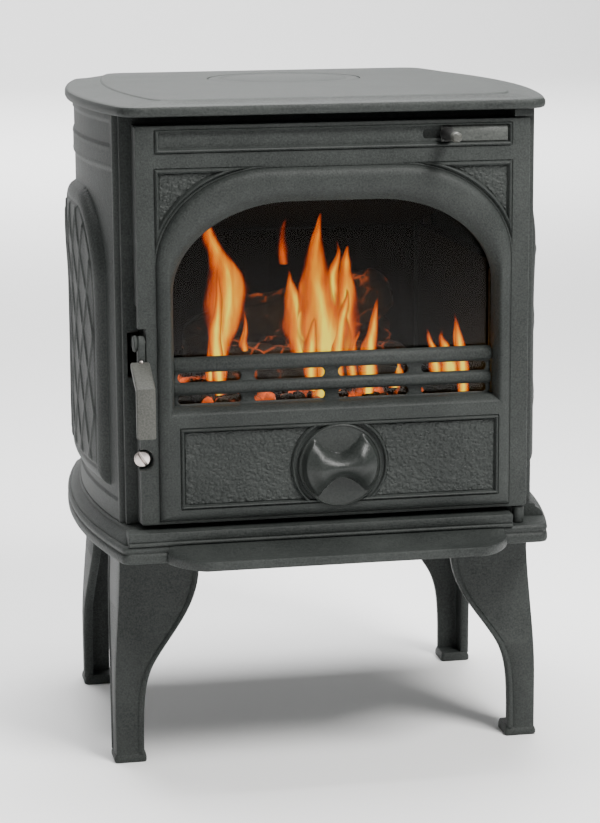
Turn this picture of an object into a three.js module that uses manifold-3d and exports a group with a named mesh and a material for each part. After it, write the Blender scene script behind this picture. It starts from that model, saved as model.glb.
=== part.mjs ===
import * as THREE from 'three';
import { mergeVertices } from 'three/addons/utils/BufferGeometryUtils.js';
import Module from 'manifold-3d';

// Cast-iron wood burning stove. Millimetres, +Z up, the door faces -Y, +X is to the right of
// someone facing the door. The origin is on the floor, under the middle of the whole object.

const wasm = await Module();
wasm.setup();

// Driving dimensions
const HEIGHT = 645;
const LEG_HEIGHT = 212;
const HALF_DEPTH = 241;
const GAP = 0.3;

const PLATE = { corner: 199, bow: 27, halfDepth: 201, thick: 15 };
const BASE = { corner: 206, bow: 27, halfDepth: 200, slabTop: 229.5, top: 242 };
const BODY = { front: -162, back: 188, wall: 8, middle: 219, bow: 20, bowDepth: 162 };
const DOOR = { front: -190.7, back: -164, halfWidth: 187.2, bottom: 247, top: 621.4 };
const MOULD = { halfWidth: 170, spring: 490, inset: 60, rise: 91, front: -198 };
const WINDOW = { halfWidth: 154, bottom: 361, spring: 465, inset: 40, rise: 83 };
const ASH_PANEL = { halfWidth: 171, bottom: 250, top: 361, front: -199, slope: 10 };
const HINGE = { x: 181, y: -183, pinRadius: 3 };
const LATCH = { y: -186.7, z: 422, left: -195.6, right: -177.8, reach: -229 };
const AIR_DISC = { x: 1.5, z: 298.7, radius: 40 };
const SLIDE = { left: 80, right: 166, bottom: 600, top: 615.5 };
const FLUE = { z: 552, radius: 62, wall: 5 };
const COVER = { y: 63, radius: 77 };
const GRATE_TOP = 332;
const LEG_BOLTS = { x: 172, y: [-118, 112] };
const TIE_RODS = [[170, -147], [176, 165]];

const PLATE_BOTTOM = HEIGHT - PLATE.thick;
const PANEL_BOTTOM = BASE.top + GAP;
const PANEL_TOP = PLATE_BOTTOM - GAP;
const PANEL_RADIUS = (BODY.bowDepth ** 2 + BODY.bow ** 2) / (2 * BODY.bow);
const PANEL_CENTRE = BODY.middle - PANEL_RADIUS;

const stove = new THREE.Group();

const castIron = { color: 0x4f5350, roughness: 0.72, metalness: 0.35 };
const darkIron = { color: 0x2c2e2e, roughness: 0.85, metalness: 0.25 };
const steel = { color: 0x8d8f8e, roughness: 0.4, metalness: 0.9 };
const brightSteel = { color: 0xc9c4bc, roughness: 0.25, metalness: 1.0 };
const leverIron = { color: 0x757770, roughness: 0.6, metalness: 0.4 };
const glassLook = { color: 0x202624, roughness: 0.05, metalness: 0.0 };
const ropeLook = { color: 0x9a968c, roughness: 0.95, metalness: 0.0 };
const firebrick = { color: 0x8a7c66, roughness: 0.95, metalness: 0.0 };
const charredWood = { color: 0x241f1b, roughness: 0.95, metalness: 0.0 };
const emberLook = { color: 0x7a2c12, roughness: 0.9, metalness: 0.0 };

// ---- solids ----

function asSolid(geometry) {
  const bare = geometry.clone();
  bare.deleteAttribute('normal');
  bare.deleteAttribute('uv');
  const merged = mergeVertices(bare, 1e-4);
  const corners = merged.index.array;
  const kept = [];
  for (let i = 0; i < corners.length; i += 3) {
    const [a, b, c] = [corners[i], corners[i + 1], corners[i + 2]];
    if (a !== b && b !== c && c !== a) {
      kept.push(a, b, c);
    }
  }
  const vertProperties = new Float32Array(merged.attributes.position.array);
  const triVerts = new Uint32Array(kept);
  return new wasm.Manifold(new wasm.Mesh({ numProp: 3, vertProperties, triVerts }));
}

function addPiece(name, solid, look) {
  const { vertProperties, triVerts } = solid.getMesh();
  const geometry = new THREE.BufferGeometry();
  geometry.setAttribute('position', new THREE.BufferAttribute(vertProperties, 3));
  geometry.setIndex(new THREE.BufferAttribute(triVerts, 1));
  geometry.computeVertexNormals();
  const mesh = new THREE.Mesh(geometry, new THREE.MeshStandardMaterial(look));
  mesh.name = name;
  stove.add(mesh);
}

function box(x0, x1, y0, y1, z0, z1) {
  const geometry = new THREE.BoxGeometry(x1 - x0, y1 - y0, z1 - z0);
  geometry.translate((x0 + x1) / 2, (y0 + y1) / 2, (z0 + z1) / 2);
  return asSolid(geometry);
}

function rod(radius, from, to, sides = 16) {
  const start = new THREE.Vector3(...from);
  const end = new THREE.Vector3(...to);
  const along = end.clone().sub(start);
  const geometry = new THREE.CylinderGeometry(radius, radius, along.length(), sides);
  const turn = new THREE.Quaternion().setFromUnitVectors(new THREE.Vector3(0, 1, 0), along.normalize());
  geometry.applyQuaternion(turn);
  const middle = start.add(end).multiplyScalar(0.5);
  geometry.translate(middle.x, middle.y, middle.z);
  return asSolid(geometry);
}

// A profile of [radius, height] points turned about a line along Y or Z.
function turned(points, axis, x, y, z, sides = 32) {
  const profile = points.map(([radius, height]) => new THREE.Vector2(radius, height));
  const geometry = new THREE.LatheGeometry(profile, sides);
  if (axis === 'z') {
    geometry.rotateX(Math.PI / 2);
  }
  geometry.translate(x, y, z);
  return asSolid(geometry);
}

function outline(points) {
  return new THREE.Shape(points.map(([u, v]) => new THREE.Vector2(u, v)));
}

function extruded(shape, depth, bevel, curveSegments) {
  return new THREE.ExtrudeGeometry(shape, {
    depth: depth - 2 * bevel.high,
    bevelEnabled: bevel.high > 0,
    bevelThickness: bevel.high,
    bevelSize: bevel.wide,
    bevelSegments: bevel.steps,
    curveSegments,
  });
}

const SQUARE = { high: 0, wide: 0, steps: 1 };

// An outline in X and Y, raised along Z.
function alongZ(shape, z0, z1, bevel = SQUARE, curveSegments = 10) {
  const geometry = extruded(shape, z1 - z0, bevel, curveSegments);
  geometry.translate(0, 0, z0 + bevel.high);
  return asSolid(geometry);
}

// An outline in X and Z, carried along Y.
function alongY(shape, y0, y1, bevel = SQUARE, curveSegments = 10) {
  const geometry = extruded(shape, y1 - y0, bevel, curveSegments);
  geometry.rotateX(Math.PI / 2);
  geometry.translate(0, y1 - bevel.high, 0);
  return asSolid(geometry);
}

// An outline in Y and Z, carried along X.
function alongX(shape, x0, x1, bevel = SQUARE, curveSegments = 10) {
  const geometry = extruded(shape, x1 - x0, bevel, curveSegments);
  const axes = [new THREE.Vector3(0, 1, 0), new THREE.Vector3(0, 0, 1), new THREE.Vector3(1, 0, 0)];
  geometry.applyMatrix4(new THREE.Matrix4().makeBasis(...axes));
  geometry.translate(x0 + bevel.high, 0, 0);
  return asSolid(geometry);
}

// The same solid with each corner moved, or mirrored across the plane of one axis.
function reshaped(solid, move, flip = false) {
  const { vertProperties, triVerts } = solid.getMesh();
  for (let i = 0; i < vertProperties.length; i += 3) {
    vertProperties.set(move(...vertProperties.slice(i, i + 3)), i);
  }
  if (flip) {
    triVerts.reverse();
  }
  return new wasm.Manifold(new wasm.Mesh({ numProp: 3, vertProperties, triVerts }));
}

function moved(solid, dx, dy, dz) {
  return reshaped(solid, (x, y, z) => [x + dx, y + dy, z + dz]);
}

function mirrored(solid, axis = 'x') {
  const [sx, sy] = axis === 'x' ? [-1, 1] : [1, -1];
  return reshaped(solid, (x, y, z) => [sx * x, sy * y, z], true);
}

// ---- outlines ----

function rectangle(u0, u1, v0, v1) {
  return outline([[u0, v0], [u1, v0], [u1, v1], [u0, v1]]);
}

// Straight front and back, sides bowed outward as arcs, corners eased.
function bowedOutline(corner, bow, halfDepth, ease) {
  const radius = (halfDepth ** 2 + bow ** 2) / (2 * bow);
  const centre = corner + bow - radius;
  const sweep = Math.asin((halfDepth - ease) / radius);
  const arcX = centre + radius * Math.cos(sweep);
  const arcY = radius * Math.sin(sweep);
  const shape = new THREE.Shape();
  shape.moveTo(-corner + ease, -halfDepth);
  shape.lineTo(corner - ease, -halfDepth);
  shape.quadraticCurveTo(corner, -halfDepth, arcX, -arcY);
  shape.absarc(centre, 0, radius, -sweep, sweep, false);
  shape.quadraticCurveTo(corner, halfDepth, corner - ease, halfDepth);
  shape.lineTo(-corner + ease, halfDepth);
  shape.quadraticCurveTo(-corner, halfDepth, -arcX, arcY);
  shape.absarc(-centre, 0, radius, Math.PI - sweep, Math.PI + sweep, false);
  shape.quadraticCurveTo(-corner, -halfDepth, -corner + ease, -halfDepth);
  return shape;
}

// Upright sides, a flat crown and an elliptical quarter at each shoulder.
function archOutline(arch, bottom, grow = 0) {
  const half = arch.halfWidth + grow;
  const across = arch.halfWidth - arch.inset + grow;
  const rise = arch.rise + grow;
  const shape = new THREE.Shape();
  shape.moveTo(-half, bottom);
  shape.lineTo(half, bottom);
  shape.lineTo(half, arch.spring);
  shape.absellipse(arch.inset, arch.spring, across, rise, 0, Math.PI / 2, false, 0);
  shape.lineTo(-arch.inset, arch.spring + rise);
  shape.absellipse(-arch.inset, arch.spring, across, rise, Math.PI / 2, Math.PI, false, 0);
  shape.lineTo(-half, bottom);
  return shape;
}

// Part of the bowed wall between two radii and two depths, on the right-hand side.
function wallSector(outer, inner, y0, y1) {
  const shape = new THREE.Shape();
  shape.absarc(PANEL_CENTRE, 0, outer, Math.asin(y0 / outer), Math.asin(y1 / outer), false);
  shape.absarc(PANEL_CENTRE, 0, inner, Math.asin(y1 / inner), Math.asin(y0 / inner), true);
  shape.closePath();
  return shape;
}

// ---- top plate and flue cover ----

function topPlate() {
  const step = 6;
  const rim = alongZ(bowedOutline(PLATE.corner - 2, PLATE.bow, PLATE.halfDepth - 2, 18),
    PLATE_BOTTOM, HEIGHT - step + 1, { high: 2.5, wide: 2, steps: 1 }, 8);
  const raised = alongZ(bowedOutline(PLATE.corner - 34, PLATE.bow - 5, PLATE.halfDepth - 14, 20),
    HEIGHT - step - 2, HEIGHT, { high: 2, wide: 5, steps: 1 }, 6);
  const seat = turned([[0, -20], [COVER.radius - 9, -20], [COVER.radius - 9, -6.3],
    [COVER.radius + 0.5, -6.3], [COVER.radius + 0.5, 5], [0, 5]], 'z', 0, COVER.y, HEIGHT, 36);
  let plate = rim.add(raised).subtract(seat);
  for (const [x, y] of TIE_RODS) {
    const hole = rod(4.3, [x, y, PLATE_BOTTOM - 2], [x, y, PLATE_BOTTOM + 6], 12);
    plate = plate.subtract(hole).subtract(mirrored(hole));
  }
  return plate;
}

function flueCover() {
  const cover = turned([[0, -13], [COVER.radius - 9.5, -13], [COVER.radius - 9.5, -6], [COVER.radius, -6],
    [COVER.radius, -0.8], [COVER.radius - 0.8, 0], [0, 0]], 'z', 0, COVER.y, HEIGHT, 36);
  return cover.subtract(rod(4.3, [0, COVER.y, HEIGHT - 20], [0, COVER.y, HEIGHT - 5]));
}

addPiece('top_plate', topPlate(), castIron);
addPiece('flue_cover', flueCover(), castIron);

const COVER_BAR_TOP = PLATE_BOTTOM - GAP;
addPiece('flue_cover_bar', box(-85, 85, COVER.y - 10, COVER.y + 10, COVER_BAR_TOP - 6, COVER_BAR_TOP)
  .subtract(rod(4.3, [0, COVER.y, COVER_BAR_TOP - 10], [0, COVER.y, COVER_BAR_TOP + 2])), darkIron);
addPiece('flue_cover_bolt', rod(4, [0, COVER.y, COVER_BAR_TOP - 12], [0, COVER.y, HEIGHT - 6])
  .add(rod(7, [0, COVER.y, COVER_BAR_TOP - 12], [0, COVER.y, COVER_BAR_TOP - 6 - GAP], 6)), steel);

// ---- bowed side panels ----

const CARTOUCHE = { halfWidth: 118, bottom: 272, spring: 468, inset: 34, rise: 82, proud: 7 };

function sidePanel() {
  const y0 = BODY.front + 10 + GAP;
  const y1 = BODY.back - BODY.wall - GAP;
  const outer = PANEL_RADIUS;
  const wall = alongZ(wallSector(outer, outer - BODY.wall, y0, y1), PANEL_BOTTOM, PANEL_TOP);
  const sunk = 2;
  const skin = alongZ(wallSector(outer + 5, outer - sunk, y0 + 1, y1 - 1), PANEL_BOTTOM + 1, PANEL_TOP - 1);
  const frieze = alongX(rectangle(-140, 150, 600, 622), 150, 240).intersect(skin);
  const field = alongX(rectangle(-142, 168, 262, 576), 150, 240).intersect(skin);
  const proud = alongZ(wallSector(outer + CARTOUCHE.proud, outer - 4, -130, 130), 250, 600);
  const cartouche = alongX(archOutline(CARTOUCHE, CARTOUCHE.bottom), 150, 240).intersect(proud);
  return wall.subtract(frieze).subtract(field).add(cartouche).subtract(latticeGrooves());
}

// Diamond grooves across the cartouche, one family leaning each way.
function latticeGrooves() {
  const pitch = 44;
  const lean = 1.9;
  const outer = PANEL_RADIUS + CARTOUCHE.proud;
  const groove = alongZ(wallSector(outer + 8, outer - 2, -106, 106), 284, 528, SQUARE, 6);
  const area = alongX(archOutline({ halfWidth: 106, spring: 460, inset: 34, rise: 66 }, 284), 150, 250);
  let cuts = null;
  for (const side of [-1, 1]) {
    for (let start = -260; start <= 260; start += pitch) {
      const reach = 300 / lean;
      const strip = alongX(outline(side > 0
        ? [[start, 270], [start + 4, 270], [start + 4 + reach, 570], [start + reach, 570]]
        : [[-start - 4, 270], [-start, 270], [-start - reach, 570], [-start - 4 - reach, 570]]), 150, 250);
      cuts = cuts ? cuts.add(strip) : strip;
    }
  }
  return cuts.intersect(groove).intersect(area);
}

const rightPanel = sidePanel();
addPiece('side_panel_right', rightPanel, castIron);
addPiece('side_panel_left', mirrored(rightPanel), castIron);

// ---- back plate, front frame and flue collar ----

const BACK_HALF = 190;
const FRONT_HALF = 198;

function backPlate() {
  const y0 = BODY.back - BODY.wall;
  const plate = box(-BACK_HALF, BACK_HALF, y0, BODY.back, PANEL_BOTTOM, PANEL_TOP);
  const outlet = rod(FLUE.radius - FLUE.wall, [0, y0 - 5, FLUE.z], [0, BODY.back + 5, FLUE.z], 40);
  let cut = plate.subtract(outlet);
  for (const side of [-1, 1]) {
    cut = cut.subtract(rod(3.3, [side * 68, y0 - 5, FLUE.z], [side * 68, BODY.back + 5, FLUE.z], 12));
  }
  return cut;
}
addPiece('back_plate', backPlate(), castIron);

function flueCollar() {
  const face = BODY.back + GAP;
  const bore = FLUE.radius - FLUE.wall;
  const collar = turned([[bore, face], [FLUE.radius + 14, face], [FLUE.radius + 14, face + 7],
    [FLUE.radius, face + 9], [FLUE.radius, HALF_DEPTH], [bore, HALF_DEPTH], [bore, face]],
  'y', 0, 0, FLUE.z, 40);
  const left = rod(3.3, [-68, face - 5, FLUE.z], [-68, face + 20, FLUE.z], 12);
  return collar.subtract(left).subtract(mirrored(left));
}
addPiece('flue_collar', flueCollar(), castIron);
for (const [name, hole] of [['left', -68], ['right', 68]]) {
  const head = BODY.back + 9.6;
  const shank = rod(3, [hole, BODY.back - 14, FLUE.z], [hole, head + 1, FLUE.z], 12);
  const screw = shank.add(rod(5.5, [hole, head, FLUE.z], [hole, head + 4, FLUE.z], 6));
  addPiece(`flue_collar_screw_${name}`, screw, steel);
}

const LATCH_WINDOW = { x0: -194, x1: -181.3, z0: 384, z1: 428 };

function frontFrame() {
  const frame = box(-FRONT_HALF, FRONT_HALF, BODY.front, BODY.front + 10, PANEL_BOTTOM, PANEL_TOP);
  const mouth = box(-164, 164, BODY.front - 5, BODY.front + 15, 262, 606);
  const window = box(LATCH_WINDOW.x0, LATCH_WINDOW.x1, BODY.front - 5, BODY.front + 15,
    LATCH_WINDOW.z0, LATCH_WINDOW.z1);
  const lug = box(172, 190, -191, BODY.front + 1, DOOR.top + 1.2, PLATE_BOTTOM - 1);
  const lugBore = rod(HINGE.pinRadius + 0.3, [HINGE.x, HINGE.y, 600], [HINGE.x, HINGE.y, 640]);
  return frame.subtract(mouth).subtract(window).add(lug).subtract(lugBore);
}
addPiece('front_frame', frontFrame(), castIron);

// ---- base plate ----

const LIP = { left: 168, front: 141, depth: -HALF_DEPTH, edge: 221.5 };

function basePlate() {
  const slab = alongZ(bowedOutline(BASE.corner - 1.5, BASE.bow, BASE.halfDepth - 1.5, 6),
    LEG_HEIGHT, BASE.slabTop, { high: 2, wide: 1.5, steps: 1 }, 7);
  const platform = alongZ(bowedOutline(BASE.corner - 8, BASE.bow - 2, BASE.halfDepth - 8, 5),
    BASE.slabTop - 4, BASE.top, { high: 1.5, wide: 1.5, steps: 1 }, 7);
  const hingeCorner = box(171.5, 230, -210, BODY.front - GAP, BASE.slabTop, BASE.top + 5);
  const sill = box(-201, 171.5, -200.5, -180, BASE.slabTop, BASE.top);
  const bead = rod(1.6, [-201, -200.5, BASE.slabTop + 1], [171.5, -200.5, BASE.slabTop + 1], 8);
  const lipPlan = new THREE.Shape();
  lipPlan.moveTo(-LIP.left, -195);
  lipPlan.lineTo(-LIP.left + 2, -203);
  lipPlan.quadraticCurveTo(-LIP.front - 10, -232, -LIP.front + 6, LIP.depth);
  lipPlan.lineTo(LIP.front - 6, LIP.depth);
  lipPlan.quadraticCurveTo(LIP.front + 10, -232, LIP.left - 2, -203);
  lipPlan.lineTo(LIP.left, -195);
  const lipProfile = new THREE.Shape();
  lipProfile.moveTo(-190, LEG_HEIGHT);
  lipProfile.lineTo(-190, BASE.slabTop - 0.5);
  lipProfile.lineTo(-203, BASE.slabTop - 0.5);
  lipProfile.quadraticCurveTo(-212, BASE.slabTop - 9, -234, LIP.edge);
  lipProfile.lineTo(LIP.depth + 1, LIP.edge);
  lipProfile.lineTo(LIP.depth, LIP.edge - 1.5);
  lipProfile.lineTo(LIP.depth, LEG_HEIGHT);
  lipProfile.closePath();
  const lip = alongX(lipProfile, -200, 200, SQUARE, 6)
    .intersect(alongZ(lipPlan, LEG_HEIGHT, BASE.slabTop, SQUARE, 8));
  const under = alongZ(bowedOutline(BASE.corner - 10, BASE.bow - 1, BASE.halfDepth - 10, 6),
    LEG_HEIGHT - 5, BASE.slabTop - 8, SQUARE, 6);
  const deeper = box(-138, 138, -170, 170, LEG_HEIGHT, BASE.top - 8);
  let base = slab.add(platform).subtract(hingeCorner).add(sill).add(bead).add(lip);
  base = base.subtract(under).subtract(deeper);
  for (const side of [-1, 1]) {
    for (const y of LEG_BOLTS.y) {
      const x = side * LEG_BOLTS.x;
      base = base.subtract(rod(4.3, [x, y, LEG_HEIGHT], [x, y, BASE.top - 5], 12));
    }
    for (const [x, y] of TIE_RODS) {
      base = base.subtract(rod(4.3, [side * x, y, LEG_HEIGHT], [side * x, y, BASE.top + 5], 12));
    }
  }
  return base;
}

addPiece('base_plate', basePlate(), castIron);

// ---- legs ----

const LEG = { corner: 203, flare: 8, front: -139, back: 133, wall: 8, foot: 28, flange: 62 };
const LEG_TOP = BASE.slabTop - 8 - GAP;

// How far the corner of a leg stands out from its top, at a height above the floor.
function legFlare(z) {
  const down = Math.min(Math.max((LEG_HEIGHT - z) / 150, 0), 1);
  return LEG.flare * down * down * (3 - 2 * down);
}

// One flange, its outer edge on u = 0 and its cabriole edge inward.
function flangeOutline(top, foot) {
  const steps = 9;
  const shape = new THREE.Shape();
  shape.moveTo(foot, 0);
  shape.lineTo(foot, 20);
  shape.bezierCurveTo(foot, 60, foot + 2, 82, foot + 10, 98);
  shape.bezierCurveTo(foot + 26, 128, top, 150, top, 190);
  shape.lineTo(top, LEG_TOP);
  for (let i = steps; i >= 0; i -= 1) {
    shape.lineTo(0, (LEG_TOP * i) / steps);
  }
  return shape;
}

// The front left leg, with the corner of its top at x = 0, y = 0.
function cabrioleLeg() {
  const flange = flangeOutline(78, LEG.foot);
  const flare = (x, y, z) => [x - legFlare(z), y - legFlare(z), z];
  const front = reshaped(alongY(flange, 0, LEG.wall, SQUARE, 6), flare);
  const side = reshaped(alongX(flange, 0, LEG.wall, SQUARE, 6), flare);
  const inner = LEG.foot + 1.5 - LEG.flare;
  const pad = box(-LEG.flare - 1.5, inner, -LEG.flare - 1.5, inner, 0, 8);
  const seat = box(0, LEG.flange, 0, LEG.flange, LEG_TOP - 7, LEG_TOP);
  const boltX = LEG.corner - LEG_BOLTS.x;
  const boltY = LEG_BOLTS.y[0] - LEG.front;
  const hole = rod(4.3, [boltX, boltY, LEG_TOP - 10], [boltX, boltY, LEG_TOP + 2], 12);
  return front.add(side).add(pad).add(seat).subtract(hole);
}

function legBolt(x, y) {
  const seat = LEG_TOP - 7 - GAP;
  return rod(4, [x, y, seat - 1], [x, y, BASE.top - 6], 12).add(rod(7, [x, y, seat - 6], [x, y, seat], 6));
}

const frontLeft = moved(cabrioleLeg(), -LEG.corner, LEG.front, 0);
const backLeft = moved(mirrored(cabrioleLeg(), 'y'), -LEG.corner, LEG.back, 0);
addPiece('leg_front_left', frontLeft, castIron);
addPiece('leg_front_right', mirrored(frontLeft), castIron);
addPiece('leg_back_left', backLeft, castIron);
addPiece('leg_back_right', mirrored(backLeft), castIron);
for (const [side, sign] of [['left', -1], ['right', 1]]) {
  addPiece(`leg_bolt_front_${side}`, legBolt(sign * LEG_BOLTS.x, LEG_BOLTS.y[0]), steel);
  addPiece(`leg_bolt_back_${side}`, legBolt(sign * LEG_BOLTS.x, LEG_BOLTS.y[1]), steel);
}

// Tie rods pull the top plate down on the panels; their nuts sit under the base plate.
function tieRod(x, y) {
  const nutTop = LEG_TOP;
  return rod(4, [x, y, nutTop - 8], [x, y, PLATE_BOTTOM + 5.5], 10)
    .add(rod(7, [x, y, nutTop - 6], [x, y, nutTop], 6));
}
for (const [side, sign] of [['left', -1], ['right', 1]]) {
  TIE_RODS.forEach(([x, y], i) => {
    addPiece(`tie_rod_${i === 0 ? 'front' : 'back'}_${side}`, tieRod(sign * x, y), steel);
  });
}

// ---- inside the firebox ----

const RAIL = { top: 322, thick: 8, inner: 70 };

function grateRail() {
  const inside = PANEL_RADIUS - BODY.wall - GAP;
  let rail = alongZ(wallSector(inside, PANEL_RADIUS - RAIL.inner, -149, 172), RAIL.top - RAIL.thick, RAIL.top);
  for (const [x, y] of TIE_RODS) {
    rail = rail.subtract(rod(5, [x, y, 300], [x, y, 340], 10));
  }
  return rail;
}
const rightRail = grateRail();
addPiece('grate_rail_right', rightRail, darkIron);
addPiece('grate_rail_left', mirrored(rightRail), darkIron);

function grate() {
  let plate = box(-160, 160, -130, 152, RAIL.top + GAP, GRATE_TOP);
  for (let x = -135; x <= 135; x += 30) {
    plate = plate.subtract(box(x - 6, x + 6, -112, 134, RAIL.top - 2, GRATE_TOP + 2));
  }
  return plate;
}
addPiece('grate', grate(), darkIron);

addPiece('side_liner_right', box(163, 175, -126, 152, RAIL.top + GAP, 480), firebrick);
addPiece('side_liner_left', box(-175, -163, -126, 152, RAIL.top + GAP, 480), firebrick);
addPiece('fireback', box(-160, 160, 156, 168, RAIL.top + GAP, 478), firebrick);
addPiece('baffle_plate', alongX(outline([[166, 478.5], [166, 488], [-76, 546], [-76, 536.5]]), -160, 160)
  .subtract(box(-165, 165, 148, 170, 470, 478.4)), darkIron);
addPiece('log_retainer', box(-156, 156, -146, -138, RAIL.top + GAP, 352), darkIron);

function ashPan() {
  const floor = BASE.top + GAP;
  const tray = box(-125, 125, -138, 122, floor, 290).subtract(box(-123, 123, -136, 120, floor + 2, 295));
  const pull = box(-40, 40, -146, -137, 280, 283);
  return tray.add(pull);
}
addPiece('ash_pan', ashPan(), steel);

const EMBER_TOP = GRATE_TOP + 7;
addPiece('ember_bed', box(-120, 120, -100, 110, GRATE_TOP + GAP, EMBER_TOP), emberLook);
addPiece('log_back', rod(34, [-105, 66, EMBER_TOP + 36], [108, 58, EMBER_TOP + 36], 10), charredWood);
addPiece('log_front', rod(26, [-92, -46, EMBER_TOP + 28], [100, -56, EMBER_TOP + 28], 10), charredWood);
addPiece('log_top', rod(28, [-62, 8, EMBER_TOP + 66], [96, 4, EMBER_TOP + 92], 10), charredWood);

// ---- door ----

const SKIN = DOOR.front + 8;
const ROPE = { outer: 7, wide: 9.4, back: -171.3, inner: 5 };
const GLASS = { front: -173, back: -169, overlap: 6 };
const NOTCH = { inner: -180.3, bottom: 384, top: 434, slotTop: 454 };
const RECESS = { x: -184.5, z: 310, radius: 10 };

// A frame as wide as the door, drawn between two insets from its edge.
function doorRing(outer, inner, y0, y1) {
  const half = DOOR.halfWidth;
  const ring = box(-half + outer, half - outer, y0, y1, DOOR.bottom + outer, DOOR.top - outer);
  const hole = box(-half + inner, half - inner, y0 - 1, y1 + 1, DOOR.bottom + inner, DOOR.top - inner);
  return ring.subtract(hole);
}

function ashPanelFront() {
  const slope = ASH_PANEL.slope;
  const half = ASH_PANEL.halfWidth - slope;
  const block = alongY(rectangle(-half, half, ASH_PANEL.bottom + slope, ASH_PANEL.top - slope),
    ASH_PANEL.front, SKIN + 4, { high: slope - 2, wide: slope, steps: 1 });
  const field = box(-150, 153, ASH_PANEL.front - 1, ASH_PANEL.front + 2, 265, 335);
  const centre = [AIR_DISC.x, AIR_DISC.z];
  const boss = turned([[0, ASH_PANEL.front - 0.5], [47, ASH_PANEL.front - 0.5], [47, ASH_PANEL.front + 4],
    [0, ASH_PANEL.front + 4]], 'y', centre[0], 0, centre[1], 28);
  const groove = turned([[41, ASH_PANEL.front - 2], [44.5, ASH_PANEL.front - 2], [44.5, ASH_PANEL.front + 1.5],
    [41, ASH_PANEL.front + 1.5], [41, ASH_PANEL.front - 2]], 'y', centre[0], 0, centre[1], 28);
  return block.subtract(field).add(boss).subtract(groove);
}

function ashPanelHollow() {
  const inner = ASH_PANEL.front + 7.5;
  let hollow = box(-138, 138, inner, -160, 262, 338);
  hollow = hollow.add(rod(4.3, [AIR_DISC.x, -210, AIR_DISC.z], [AIR_DISC.x, inner + 1, AIR_DISC.z]));
  for (let i = 0; i < 4; i += 1) {
    const angle = Math.PI / 4 + (i * Math.PI) / 2;
    const x = AIR_DISC.x + 22 * Math.cos(angle);
    const z = AIR_DISC.z + 22 * Math.sin(angle);
    hollow = hollow.add(rod(6, [x, -210, z], [x, inner + 1, z], 12));
  }
  return hollow;
}

function windowMoulding() {
  const proud = 5;
  return alongY(archOutline(MOULD, 352, -proud), MOULD.front, SKIN - 2, { high: proud, wide: proud, steps: 1 })
    .intersect(box(-200, 200, -210, -170, 356, 600));
}

function windowCut() {
  const straight = alongY(archOutline(WINDOW, WINDOW.bottom), -215, -150);
  const splay = alongY(archOutline(WINDOW, WINDOW.bottom), -220, -191, { high: 8, wide: 6, steps: 1 });
  return straight.add(splay);
}

function doorFrame() {
  const half = DOOR.halfWidth;
  let door = box(-half, half, DOOR.front, SKIN, DOOR.bottom, DOOR.top);
  door = door.add(doorRing(0, ROPE.outer, SKIN - 1, DOOR.back));
  door = door.add(doorRing(ROPE.outer - 1, ROPE.outer + ROPE.wide + ROPE.inner, SKIN - 1, ROPE.back));
  door = door.add(doorRing(ROPE.outer + ROPE.wide, ROPE.outer + ROPE.wide + ROPE.inner, ROPE.back - 1, -167));
  const seat = alongY(archOutline(WINDOW, WINDOW.bottom - 9, 9), SKIN - 1, GLASS.front - 2.5);
  door = door.add(seat).add(windowMoulding()).add(ashPanelFront());
  door = door.subtract(windowCut()).subtract(ashPanelHollow());
  const spandrels = box(-165, 165, DOOR.front - 2, DOOR.front + 1.2, 514, 577)
    .subtract(alongY(archOutline(MOULD, 352, 3), -220, -150));
  const band = box(-164, SLIDE.left - 3, DOOR.front - 2, DOOR.front + 1.2, SLIDE.bottom, SLIDE.top);
  const pocket = box(SLIDE.left, SLIDE.right, DOOR.front - 2, DOOR.front + 2.9, SLIDE.bottom, SLIDE.top);
  const airSlot = box(84, 128, DOOR.front, SKIN + 1, 603.5, 612);
  const channel = box(82, 160, SKIN, -174, 590, 613.2);
  const notch = box(-half - 5, NOTCH.inner, DOOR.front - 2, DOOR.back + 2, NOTCH.bottom, NOTCH.top);
  const sideSlot = box(-half - 5, NOTCH.inner, -178, DOOR.back + 2, NOTCH.top - 1, NOTCH.slotTop);
  const pivot = rod(2.8, [-200, LATCH.y, LATCH.z], [-171, LATCH.y, LATCH.z]);
  const recess = rod(RECESS.radius, [RECESS.x, -200, RECESS.z], [RECESS.x, -180, RECESS.z], 24);
  const screwHole = rod(3.3, [RECESS.x, -190, RECESS.z], [RECESS.x, -168, RECESS.z], 12);
  const upperBore = rod(3.4, [HINGE.x, HINGE.y, 603], [HINGE.x, HINGE.y, DOOR.top + 2]);
  const lowerBore = rod(3.4, [HINGE.x, HINGE.y, DOOR.bottom - 2], [HINGE.x, HINGE.y, 265]);
  for (const cut of [spandrels, band, pocket, airSlot, channel, notch, sideSlot, pivot, recess, screwHole, upperBore,
    lowerBore, ...clipScrewHoles()]) {
    door = door.subtract(cut);
  }
  return door;
}

const CLIP = { inner: 154.5, outer: 170.5, screwX: 168.2, bottom: 380, top: 476, screwZ: 428 };

function clipScrewHoles() {
  return [-1, 1].map((side) => {
    const x = side * CLIP.screwX;
    return rod(1.9, [x, -180, CLIP.screwZ], [x, -160, CLIP.screwZ], 8);
  });
}

addPiece('door_frame', doorFrame(), castIron);

function doorSeal() {
  return doorRing(ROPE.outer + GAP, ROPE.outer + ROPE.wide - GAP, ROPE.back + GAP, BODY.front - 0.4);
}
addPiece('door_seal', doorSeal(), ropeLook);

function archPane(overlap, y0, y1) {
  return alongY(archOutline(WINDOW, WINDOW.bottom - overlap, overlap), y0, y1);
}
addPiece('door_glass', archPane(GLASS.overlap, GLASS.front, GLASS.back), glassLook);
addPiece('glass_gasket', archPane(GLASS.overlap, GLASS.front - 2.2, GLASS.front - GAP)
  .subtract(archPane(0.5, GLASS.front - 5, GLASS.front + 5)), ropeLook);

const GRILLE = { y0: -181, y1: -176, half: 153.4, bars: [371, 393], thick: 11 };

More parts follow.
